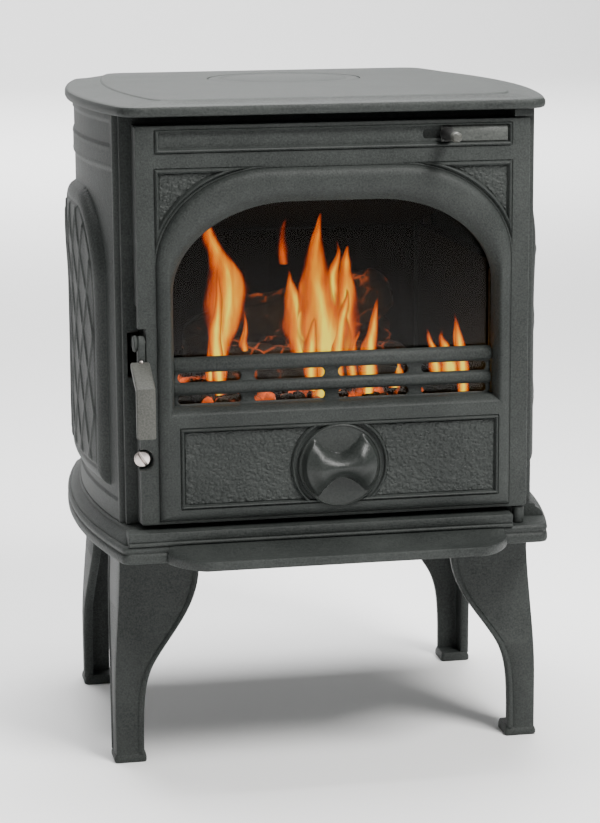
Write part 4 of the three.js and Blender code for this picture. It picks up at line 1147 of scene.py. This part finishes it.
def strand_tree():
    """Sweeps a round strand, twisted at a given radius, along each path."""
    tree = bpy.data.node_groups.new("rope_strands", "GeometryNodeTree")
    for name, kind in (("Path", "NodeSocketGeometry"), ("Strand Radius", "NodeSocketFloat"),
                       ("Twist Radius", "NodeSocketFloat"), ("Turns", "NodeSocketFloat"),
                       ("Phase", "NodeSocketFloat"), ("Material", "NodeSocketMaterial")):
        tree.interface.new_socket(name, in_out="INPUT", socket_type=kind)
    tree.interface.new_socket("Geometry", in_out="OUTPUT", socket_type="NodeSocketGeometry")
    entry = new_node(tree, "NodeGroupInput")
    leave = new_node(tree, "NodeGroupOutput")
    to_curve = new_node(tree, "GeometryNodeMeshToCurve")
    along = new_node(tree, "GeometryNodeSplineParameter")
    normal = new_node(tree, "GeometryNodeInputNormal")
    tangent = new_node(tree, "GeometryNodeInputTangent")
    side = new_node(tree, "ShaderNodeVectorMath", operation="CROSS_PRODUCT")
    turns = new_node(tree, "ShaderNodeMath", operation="MULTIPLY_ADD")
    wave_a = new_node(tree, "ShaderNodeMath", operation="COSINE")
    wave_b = new_node(tree, "ShaderNodeMath", operation="SINE")
    push_a = new_node(tree, "ShaderNodeVectorMath", operation="SCALE")
    push_b = new_node(tree, "ShaderNodeVectorMath", operation="SCALE")
    total = new_node(tree, "ShaderNodeVectorMath", operation="ADD")
    out = new_node(tree, "ShaderNodeVectorMath", operation="SCALE")
    shift = new_node(tree, "GeometryNodeSetPosition")
    profile = new_node(tree, "GeometryNodeCurvePrimitiveCircle", {"Resolution": 7})
    sweep = new_node(tree, "GeometryNodeCurveToMesh", {"Fill Caps": True})
    smooth = new_node(tree, "GeometryNodeSetShadeSmooth")
    real = new_node(tree, "GeometryNodeRealizeInstances")
    paint = new_node(tree, "GeometryNodeSetMaterial")
    link_nodes(
        tree,
        (entry.outputs["Path"], to_curve.inputs["Mesh"]),
        (to_curve.outputs["Curve"], shift.inputs["Geometry"]),
        (along.outputs["Factor"], turns.inputs[0]),
        (entry.outputs["Turns"], turns.inputs[1]),
        (entry.outputs["Phase"], turns.inputs[2]),
        (turns.outputs[0], wave_a.inputs[0]),
        (turns.outputs[0], wave_b.inputs[0]),
        (normal.outputs["Normal"], push_a.inputs[0]),
        (wave_a.outputs[0], push_a.inputs["Scale"]),
        (normal.outputs["Normal"], side.inputs[0]),
        (tangent.outputs["Tangent"], side.inputs[1]),
        (side.outputs["Vector"], push_b.inputs[0]),
        (wave_b.outputs[0], push_b.inputs["Scale"]),
        (push_a.outputs["Vector"], total.inputs[0]),
        (push_b.outputs["Vector"], total.inputs[1]),
        (total.outputs["Vector"], out.inputs[0]),
        (entry.outputs["Twist Radius"], out.inputs["Scale"]),
        (out.outputs["Vector"], shift.inputs["Offset"]),
        (entry.outputs["Strand Radius"], profile.inputs["Radius"]),
        (shift.outputs["Geometry"], sweep.inputs["Curve"]),
        (profile.outputs["Curve"], sweep.inputs["Profile Curve"]),
        (sweep.outputs["Mesh"], smooth.inputs["Geometry"]),
        (smooth.outputs["Geometry"], real.inputs["Geometry"]),
        (real.outputs["Geometry"], paint.inputs["Geometry"]),
        (entry.outputs["Material"], paint.inputs["Material"]),
        (paint.outputs["Geometry"], leave.inputs["Geometry"]),
    )
    return tree


def input_key(tree, name):
    return next(item.identifier for item in tree.interface.items_tree
                if item.item_type == "SOCKET" and item.in_out == "INPUT" and item.name == name)


def baked(holder, name):
    """The evaluated mesh of a holder, as a plain object without modifiers."""
    graph = bpy.context.evaluated_depsgraph_get()
    mesh = bpy.data.meshes.new_from_object(holder.evaluated_get(graph))
    bpy.data.objects.remove(holder)
    piece = bpy.data.objects.new(name, mesh)
    bpy.context.scene.collection.objects.link(piece)
    return piece


def even_path(outline, step):
    """A closed outline resampled to even steps."""
    loop = np.vstack([outline, outline[:1]])
    lengths = np.concatenate([[0], np.cumsum(np.hypot(*np.diff(loop, axis=0).T))])
    count = max(8, int(lengths[-1] / step))
    spots = np.linspace(0, lengths[-1], count + 1)[:-1]
    return np.stack([np.interp(spots, lengths, loop[:, axis]) for axis in (0, 1)], 1)


def twisted_rope(name, outline, depth, strand, twist, pitch, strands, material, tree):
    path = even_path(outline, pitch / 9)
    length = len(path) * pitch / 9
    parts = []
    for count in range(strands):
        mesh = bpy.data.meshes.new(name + "_path")
        mesh.from_pydata([(u / 1000, depth / 1000, v / 1000) for u, v in path],
                         [(i, (i + 1) % len(path)) for i in range(len(path))], [])
        holder = bpy.data.objects.new(name + "_path", mesh)
        bpy.context.scene.collection.objects.link(holder)
        sweep = holder.modifiers.new("strands", "NODES")
        sweep.node_group = tree
        sweep[input_key(tree, "Strand Radius")] = strand / 1000
        sweep[input_key(tree, "Twist Radius")] = twist / 1000
        sweep[input_key(tree, "Turns")] = 2 * math.pi * round(length / pitch)
        sweep[input_key(tree, "Phase")] = 2 * math.pi * count / strands
        sweep[input_key(tree, "Material")] = material
        parts.append(baked(holder, name + "_strand"))
    work = bmesh.new()
    for part in parts:
        work.from_mesh(part.data)
        bpy.data.objects.remove(part)
    mesh = bpy.data.meshes.new(name)
    bmesh.ops.recalc_face_normals(work, faces=work.faces)
    work.to_mesh(mesh)
    work.free()
    mesh.materials.append(material)
    mesh.shade_smooth()
    piece = bpy.data.objects.new(name, mesh)
    bpy.context.scene.collection.objects.link(piece)
    return piece


rope_fibre = stove_paint("rope_fibre", (0.10, 0.10, 0.095), (0.30, 0.29, 0.27), 0.9, 0.8)
rope_tree = strand_tree()
seal_line = rectangle(-DOOR_HALF + 11.7, DOOR_HALF - 11.7, DOOR_LOW + 11.7, DOOR_HIGH - 11.7, 6,
                      steps=6)
seal_rope = twisted_rope("door_seal_rope", seal_line, SEAL_ROPE_DEPTH, 2.0, 2.1, 15, 4, rope_fibre,
                         rope_tree)
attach(seal_rope, "door")
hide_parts("door_seal")
gasket_line = inset(arch(OPENING["half"], 361, OPENING["spring"], OPENING["inset_x"], OPENING["rise"]),
                    -3.2)
glass_braid = twisted_rope("glass_gasket_braid", gasket_line, GASKET_DEPTH, 0.5, 0.42, 5.5, 3,
                           rope_fibre, rope_tree)
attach(glass_braid, "door")
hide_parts("glass_gasket")

# ---- firebox ----
# Iron fireback with upright flutes, refractory side bricks, an iron baffle above and a bar
# grate below, all black: partly soot, partly painted shade that keeps them black under the flames.

# Near-black finishes: partly real soot, partly painted shade, darkened to cancel the flames' light on the firebox
# walls.
soot_and_shade = stove_paint("sooty_iron_and_shade", (0.002, 0.002, 0.002), (0.010, 0.009, 0.008), 0.85, 1.2)
brick_soot_and_shade = stove_paint("sooty_brick_and_shade", (0.002, 0.002, 0.0018), (0.010, 0.009, 0.0075), 0.95, 2.0)


def build_fireback():
    shell = Shell()
    low, high, rear, face = 322.8, 477.5, 167.5, 157.6
    across = []
    for x in np.linspace(-159.5, 159.5, 160):
        flute = abs(math.sin(x / 24 * math.pi)) ** 0.5
        across.append((x, face + 2.6 * (1 - flute)))
    profile = [(-159.5, rear), *across, (159.5, rear)]
    levels = [(low, 0), (low + 1, -0.6), (high - 1, -0.6), (high, 0)]
    shell.wall([[(x, min(y + 0.6 + lift, rear), z) for x, y in profile] for z, lift in levels])
    for z, _ in (levels[0], levels[-1]):
        shape = np.array([(x, min(y + 0.6, rear)) for x, y in profile])
        shell.fill(shape, [], lambda x, y, z=z: (x, y, z))
    return shell.made("fireback_casting", soot_and_shade, 40)


fireback = build_fireback()
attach(fireback, "stove_body")
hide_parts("fireback")

# ---- burnt logs ----
# Three split hardwood logs burnt to cracked black charcoal, with live fire in the cracks.


def charred(name):
    material, tree = new_material(name)
    surface = tree.nodes["Principled BSDF"]
    where = new_node(tree, "ShaderNodeTexCoord")
    cells = new_node(tree, "ShaderNodeTexVoronoi", {"Scale": 62, "Randomness": 0.9},
                     feature="DISTANCE_TO_EDGE")
    heat = new_node(tree, "ShaderNodeTexNoise", {"Scale": 26, "Detail": 3})
    crack = new_node(tree, "ShaderNodeMapRange",
                     {"From Min": 0.0, "From Max": 0.09, "To Min": 1, "To Max": 0})
    live = new_node(tree, "ShaderNodeMapRange",
                    {"From Min": 0.50, "From Max": 0.72, "To Min": 0, "To Max": 1})
    glow = new_node(tree, "ShaderNodeMath", operation="MULTIPLY")
    strength = new_node(tree, "ShaderNodeMath", {1: 1.0}, operation="MULTIPLY")
    ash = new_node(tree, "ShaderNodeValToRGB")
    ash.color_ramp.elements[0].position = 0.35
    ash.color_ramp.elements[0].color = (0.004, 0.004, 0.004, 1)
    ash.color_ramp.elements[1].position = 0.75
    ash.color_ramp.elements[1].color = (0.080, 0.070, 0.062, 1)
    bump = new_node(tree, "ShaderNodeBump", {"Strength": 0.8, "Distance": 0.0015})
    link_nodes(
        tree,
        (where.outputs["Object"], cells.inputs["Vector"]),
        (where.outputs["Object"], heat.inputs["Vector"]),
        (cells.outputs["Distance"], crack.inputs["Value"]),
        (heat.outputs["Fac"], live.inputs["Value"]),
        (heat.outputs["Fac"], ash.inputs["Fac"]),
        (ash.outputs["Color"], surface.inputs["Base Color"]),
        (crack.outputs["Result"], glow.inputs[0]),
        (live.outputs["Result"], glow.inputs[1]),
        (glow.outputs[0], strength.inputs[0]),
        (strength.outputs[0], surface.inputs["Emission Strength"]),
        (cells.outputs["Distance"], bump.inputs["Height"]),
        (bump.outputs["Normal"], surface.inputs["Normal"]),
    )
    surface.inputs["Emission Color"].default_value = (1.0, 0.16, 0.02, 1)
    surface.inputs["Roughness"].default_value = 0.92
    return material


char = charred("charred_wood")


def build_log(name, start, end, radius, seed):
    """A split log: a rounded wedge section with bark ridges, cracks and broken ends."""
    start, end = Vector(start), Vector(end)
    axis = (end - start).normalized()
    side = axis.cross(Vector((0, 0, 1))).normalized()
    up = side.cross(axis)
    rings = []
    count = 72
    length = (end - start).length
    for step in range(61):
        t = step / 60
        taper = min(1, (0.35 + t * 9), (0.35 + (1 - t) * 9))
        ring = []
        for turn in range(count):
            a = 2 * math.pi * turn / count
            flat = 1 / max(0.72, abs(math.cos(a - 0.5 - seed)) ** 0.6) if 0.6 < (a + seed) % 6.28 < 2.4 else 1
            spot = Vector((t * length / 30, math.cos(a) * 1.2, math.sin(a) * 1.2 + seed))
            rough = 0.16 * noise.noise(spot) + 0.10 * noise.noise(spot * 2.7) + 0.06 * noise.noise(spot * 6.5)
            block = 0.05 * (abs(math.sin(t * length / 9 + 2 * noise.noise(spot))) ** 0.4 - 0.7)
            reach = radius * min(1.04, 0.86 / flat + rough + block) * taper ** 0.5
            slack = length * 0.03 * noise.noise(spot * 3.1) * (1 - taper)
            spot = start + axis * (t * length + slack) + side * (math.cos(a) * reach) + up * (math.sin(a) * reach)
            ring.append(tuple(spot))
        rings.append(ring)
    shell = Shell()
    shell.wall(rings)
    for ring in (rings[0], rings[-1]):
        middle = np.mean(ring, axis=0)
        small = [tuple(middle + (np.array(p) - middle) * 0.5) for p in ring]
        shell.wall([ring, small])
        first = len(shell.points)
        shell.points.extend(small)
        shell.faces.append(tuple(range(first, first + count)))
    return shell.made(name, char, 60)


LOGS = (("log_back", (-105, 66, 375), (108, 58, 375), 34, 1.3),
        ("log_front", (-92, -46, 367), (100, -56, 367), 26, 3.1),
        ("log_top", (-62, 8, 405), (96, 4, 431), 28, 5.2))
for node_name, start, end, radius, seed in LOGS:
    log = build_log(node_name + "_burnt", start, end, radius, seed)
    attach(log, "stove_body")
    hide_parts(node_name)

# ---- bed of embers ----
# Lumps of glowing charcoal heaped on the grate, most of them grey with ash on top.


def ember_material(name):
    material, tree = new_material(name)
    surface = tree.nodes["Principled BSDF"]
    where = new_node(tree, "ShaderNodeTexCoord")
    heat = new_node(tree, "ShaderNodeTexNoise", {"Scale": 30, "Detail": 4})
    color = new_node(tree, "ShaderNodeValToRGB")
    color.color_ramp.elements[0].position = 0.42
    color.color_ramp.elements[0].color = (0.006, 0.005, 0.005, 1)
    color.color_ramp.elements[1].position = 0.72
    color.color_ramp.elements[1].color = (0.10, 0.09, 0.08, 1)
    power = new_node(tree, "ShaderNodeMapRange",
                     {"From Min": 0.52, "From Max": 0.76, "To Min": 0, "To Max": 2.2})
    bump = new_node(tree, "ShaderNodeBump", {"Strength": 0.7, "Distance": 0.001})
    link_nodes(
        tree,
        (where.outputs["Object"], heat.inputs["Vector"]),
        (heat.outputs["Fac"], color.inputs["Fac"]),
        (color.outputs["Color"], surface.inputs["Base Color"]),
        (heat.outputs["Fac"], power.inputs["Value"]),
        (power.outputs["Result"], surface.inputs["Emission Strength"]),
        (heat.outputs["Fac"], bump.inputs["Height"]),
        (bump.outputs["Normal"], surface.inputs["Normal"]),
    )
    surface.inputs["Emission Color"].default_value = (1.0, 0.14, 0.02, 1)
    surface.inputs["Roughness"].default_value = 0.95
    return material


ember_glow = ember_material("embers")


def coal_tree():
    """Scatters lumps over a surface with random turn and size."""
    tree = bpy.data.node_groups.new("scattered_coals", "GeometryNodeTree")
    for name, kind in (("Bed", "NodeSocketGeometry"), ("Lump", "NodeSocketObject"),
                       ("Density", "NodeSocketFloat"),
                       ("Seed", "NodeSocketInt"), ("Material", "NodeSocketMaterial")):
        tree.interface.new_socket(name, in_out="INPUT", socket_type=kind)
    tree.interface.new_socket("Geometry", in_out="OUTPUT", socket_type="NodeSocketGeometry")
    entry = new_node(tree, "NodeGroupInput")
    leave = new_node(tree, "NodeGroupOutput")
    spread = new_node(tree, "GeometryNodeDistributePointsOnFaces")
    lump = new_node(tree, "GeometryNodeObjectInfo")
    turn = new_node(tree, "FunctionNodeRandomValue", data_type="FLOAT_VECTOR")
    turn.inputs[1].default_value = (6.28, 6.28, 6.28)
    size = new_node(tree, "FunctionNodeRandomValue", data_type="FLOAT")
    size.inputs[2].default_value, size.inputs[3].default_value = 0.5, 1.15
    place = new_node(tree, "GeometryNodeInstanceOnPoints")
    real = new_node(tree, "GeometryNodeRealizeInstances")
    paint = new_node(tree, "GeometryNodeSetMaterial")
    link_nodes(
        tree,
        (entry.outputs["Bed"], spread.inputs["Mesh"]),
        (entry.outputs["Density"], spread.inputs["Density"]),
        (entry.outputs["Seed"], spread.inputs["Seed"]),
        (entry.outputs["Seed"], turn.inputs["Seed"]),
        (entry.outputs["Seed"], size.inputs["Seed"]),
        (entry.outputs["Lump"], lump.inputs["Object"]),
        (spread.outputs["Points"], place.inputs["Points"]),
        (lump.outputs["Geometry"], place.inputs["Instance"]),
        (turn.outputs["Value"], place.inputs["Rotation"]),
        (size.outputs[1], place.inputs["Scale"]),
        (place.outputs["Instances"], real.inputs["Geometry"]),
        (real.outputs["Geometry"], paint.inputs["Geometry"]),
        (entry.outputs["Material"], paint.inputs["Material"]),
        (paint.outputs["Geometry"], leave.inputs["Geometry"]),
    )
    return tree


def build_coals():
    lump_mesh = bpy.data.meshes.new("coal_lump")
    work = bmesh.new()
    bmesh.ops.create_icosphere(work, subdivisions=2, radius=0.0105)
    for vert in work.verts:
        cut = 1 + 0.30 * noise.noise(vert.co * 160) + 0.12 * noise.noise(vert.co * 420)
        vert.co = Vector((vert.co.x * cut, vert.co.y * cut * 0.85, vert.co.z * cut * 0.7))
    work.to_mesh(lump_mesh)
    work.free()
    lump = bpy.data.objects.new("coal_lump", lump_mesh)
    bed_mesh = bpy.data.meshes.new("ember_bed_area")
    bed_mesh.from_pydata([(-0.110, -0.089, 0.3375), (0.110, -0.089, 0.3375), (0.110, 0.099, 0.3375),
                          (-0.110, 0.099, 0.3375)], [], [(0, 1, 2, 3)])
    holder = bpy.data.objects.new("ember_bed_area", bed_mesh)
    for thing in (lump, holder):
        bpy.context.scene.collection.objects.link(thing)
    tree = coal_tree()
    scatter = holder.modifiers.new("coals", "NODES")
    scatter.node_group = tree
    scatter[input_key(tree, "Lump")] = lump
    scatter[input_key(tree, "Density")] = 5200.0
    scatter[input_key(tree, "Seed")] = 7
    scatter[input_key(tree, "Material")] = ember_glow
    coals = baked(holder, "ember_bed_coals")
    bpy.data.objects.remove(lump)
    coals.data.materials.clear()
    coals.data.materials.append(ember_glow)
    return coals


coals = build_coals()
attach(coals, "stove_body")
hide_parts("ember_bed")

# ---- flames ----
# Tongues of wood flame rising round the logs, white-yellow at the core and orange at the rim.


def flame_material(name):
    material, tree = new_material(name)
    tree.nodes.clear()
    out = new_node(tree, "ShaderNodeOutputMaterial")
    rise = new_node(tree, "ShaderNodeAttribute", attribute_name="rise")
    core = new_node(tree, "ShaderNodeAttribute", attribute_name="core")
    where = new_node(tree, "ShaderNodeTexCoord")
    stretch = new_node(tree, "ShaderNodeMapping", {"Scale": (1, 1, 0.17)})
    streak = new_node(tree, "ShaderNodeTexNoise", {"Scale": 120, "Detail": 3})
    heat = new_node(tree, "ShaderNodeMath", {1: 1.0}, operation="MULTIPLY_ADD")
    cool = new_node(tree, "ShaderNodeMath", {1: -0.42}, operation="MULTIPLY_ADD")
    wander = new_node(tree, "ShaderNodeMath", {1: 0.95, 2: -0.46}, operation="MULTIPLY_ADD")
    color = new_node(tree, "ShaderNodeValToRGB")
    stops = [(0.0, (0.30, 0.01, 0.0)), (0.25, (0.80, 0.06, 0.0)), (0.5, (1.0, 0.17, 0.0)),
             (0.75, (1.0, 0.37, 0.0)),
             (1.0, (1.0, 0.76, 0.04))]
    while len(color.color_ramp.elements) < len(stops):
        color.color_ramp.elements.new(0.5)
    for element, (position, tone) in zip(color.color_ramp.elements, stops):
        element.position = position
        element.color = (*tone, 1)
    power = new_node(tree, "ShaderNodeMapRange", {"To Min": 0.25, "To Max": 1.6})
    clear = new_node(tree, "ShaderNodeMapRange", {"From Min": 0.04, "From Max": 0.55},
                     interpolation_type="SMOOTHSTEP")
    burn = new_node(tree, "ShaderNodeEmission")
    nothing = new_node(tree, "ShaderNodeBsdfTransparent")
    mix = new_node(tree, "ShaderNodeMixShader")
    link_nodes(
        tree,
        (where.outputs["Object"], stretch.inputs["Vector"]),
        (stretch.outputs["Vector"], streak.inputs["Vector"]),
        (streak.outputs["Fac"], wander.inputs[0]),
        (core.outputs["Fac"], cool.inputs[2]),
        (rise.outputs["Fac"], cool.inputs[0]),
        (cool.outputs[0], heat.inputs[2]),
        (wander.outputs[0], heat.inputs[0]),
        (heat.outputs[0], color.inputs["Fac"]),
        (heat.outputs[0], power.inputs["Value"]),
        (heat.outputs[0], clear.inputs["Value"]),
        (color.outputs["Color"], burn.inputs["Color"]),
        (power.outputs["Result"], burn.inputs["Strength"]),
        (clear.outputs["Result"], mix.inputs["Fac"]),
        (nothing.outputs["BSDF"], mix.inputs[1]),
        (burn.outputs["Emission"], mix.inputs[2]),
        (mix.outputs["Shader"], out.inputs["Surface"]),
    )
    return material


fire = flame_material("flame")


def build_flame(name, spine, seed, warmth=1.0):
    """A tongue lofted along a spine of (x, z, half width), thin from front to back, at one depth y."""
    depth, line = spine
    line = np.array(line, dtype=float)
    spots = np.linspace(0, len(line) - 1, 49)
    fine = np.stack([np.interp(spots, np.arange(len(line)), line[:, axis]) for axis in range(3)], 1)
    kernel = np.ones(7) / 7
    for axis in range(3):
        padded = np.pad(fine[:, axis], 3, mode="edge")
        fine[:, axis] = np.convolve(padded, kernel, mode="valid")
    points, faces, rises, cores = [], [], [], []
    around = 28
    for step, (x, z, half) in enumerate(fine):
        t = step / (len(fine) - 1)
        sway = 9.0 * t * noise.noise(Vector((t * 3.2, seed, 0.3)))
        deep = 0.45 * half + 1.0
        for turn in range(around):
            a = 2 * math.pi * turn / around
            ragged = 1 + 0.34 * noise.noise(Vector((math.cos(a) * 1.5, t * 7, seed + 3)))
            across = half * math.cos(a) * ragged
            points.append(((x + sway + across) / 1000, (depth + deep * math.sin(a)) / 1000, z / 1000))
            rises.append(t)
            cores.append(1.15 * (1 - abs(math.cos(a)) ** 1.3) * min(1, 0.35 + half / 10) * warmth)
    for step in range(len(fine) - 1):
        for turn in range(around):
            a, b = step * around + turn, step * around + (turn + 1) % around
            faces.append((a, b, b + around, a + around))
    last = (len(fine) - 1) * around
    faces.append(tuple(range(around))[::-1])
    faces.append(tuple(range(last, last + around)))
    mesh = bpy.data.meshes.new(name)
    mesh.from_pydata(points, [], faces)
    work = bmesh.new()
    work.from_mesh(mesh)
    bmesh.ops.recalc_face_normals(work, faces=work.faces)
    work.to_mesh(mesh)
    work.free()
    for label, values in (("rise", rises), ("core", cores)):
        mesh.attributes.new(label, "FLOAT", "POINT").data.foreach_set("value", values)
    mesh.materials.append(fire)
    mesh.shade_smooth()
    piece = bpy.data.objects.new(name, mesh)
    bpy.context.scene.collection.objects.link(piece)
    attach(piece, "stove_body")
    return piece


FLAMES = {
    "flame_left": (-70, [(-92, 344, 7), (-93, 365, 8), (-91, 390, 11), (-86, 415, 19), (-82, 436, 25),
                         (-84, 458, 24),
                         (-91, 480, 18), (-98, 500, 11), (-100, 516, 4)]),
    "flame_left_front": (-82, [(-95, 346, 5), (-95, 366, 7), (-97, 390, 8), (-98, 415, 8),
                               (-96, 440, 6), (-93, 462, 3),
                               (-92, 474, 1)]),
    "flame_left_back": (-62, [(-100, 358, 4), (-100, 376, 7), (-97, 398, 8), (-92, 420, 6),
                              (-90, 436, 2)]),
    "flame_middle": (-78, [(4, 322, 6), (7, 345, 10), (12, 370, 19), (12, 395, 27), (8, 420, 29),
                           (6, 445, 24),
                           (2, 465, 17), (2, 485, 11), (5, 505, 6), (7, 526, 2)]),
    "flame_middle_right": (-66, [(24, 345, 10), (28, 370, 14), (32, 395, 18), (33, 420, 19),
                                 (35, 445, 15), (37, 462, 10),
                                 (40, 475, 6), (42, 490, 1.5)]),
    "flame_middle_left": (-60, [(-2, 352, 8), (-6, 375, 13), (-11, 400, 17), (-15, 425, 15),
                                (-18, 442, 10), (-20, 455, 5),
                                (-20, 466, 1.5)]),
    "flame_middle_front": (-88, [(-2, 348, 5), (-4, 370, 8), (-3, 392, 9), (0, 412, 6), (4, 430, 3),
                                 (5, 440, 1)]),
    "flame_middle_front_right": (-86, [(20, 346, 6), (20, 368, 10), (22, 390, 11), (27, 412, 9),
                                       (30, 434, 5), (31, 450, 1.5)]),
    "flame_middle_tip": (-74, [(20, 430, 8), (22, 448, 9), (20, 466, 7), (23, 482, 4), (26, 496, 1)]),
    "flame_middle_wisp": (-56, [(-24, 470, 4), (-26, 488, 8), (-25, 503, 9), (-22, 516, 6),
                                (-18, 527, 1.5)]),
    "flame_small": (-84, [(54, 338, 6), (54, 356, 10), (55, 375, 11), (57, 394, 9), (60, 412, 7),
                          (63, 428, 4),
                          (64, 439, 1.5)]),
    "flame_small_left": (-80, [(40, 352, 5), (38, 372, 7), (40, 392, 5), (44, 406, 1.5)]),
    "flame_right": (-84, [(150, 328, 5), (151, 346, 8), (152, 364, 8.5), (151, 382, 8), (150, 396, 7),
                          (149, 410, 4),
                          (148, 422, 1.5)]),
    "flame_right_middle": (-78, [(140, 348, 10), (138, 366, 12), (135, 380, 9), (133, 394, 5),
                                 (132, 406, 1.5)]),
    "flame_right_inner": (-72, [(128, 352, 6), (126, 368, 9), (122, 382, 7), (119, 394, 4),
                                (117, 404, 1.5)]),
    "flame_low_left": (-54, [(-64, 376, 3), (-64, 392, 5), (-63, 408, 4), (-62, 428, 1)]),
    "flame_low_middle": (-74, [(84, 346, 6), (86, 358, 8), (88, 370, 6), (90, 382, 2)]),
}
for seed, (flame_name, spine) in enumerate(FLAMES.items()):
    build_flame(flame_name, spine, seed + 0.5, 0.42 if "wisp" in flame_name else 1.0)

# ---- small iron and steel parts ----
# Everything left is a plain turned, cast or cut part and keeps its own shape: each gets the
# finish of its metal, black inside the firebox from soot and painted shade.

# Parts inside the firebox take the near-black finish of soot and painted shade.
SOOT_AND_SHADE_PARTS = ("grate", "grate_rail_left", "grate_rail_right", "baffle_plate", "log_retainer")
FINISHES = {"cast_iron": iron_paint, "dark_iron": black_paint, "steel": dull_steel,
            "bright_steel": bright_steel,
            "lever_iron": lever_paint, "rope": rope_fibre, "firebrick": brick_soot_and_shade,
            "charred_wood": char,
            "embers": ember_glow, "glass": glass}
for node_name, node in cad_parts.items():
    if node_name in SOOT_AND_SHADE_PARTS:
        node.data.materials.clear()
        node.data.materials.append(soot_and_shade)
        continue
    for place, old in enumerate(node.data.materials):
        slot_name = old.name.split(".")[0]
        if slot_name in FINISHES:
            node.data.materials[place] = FINISHES[slot_name]
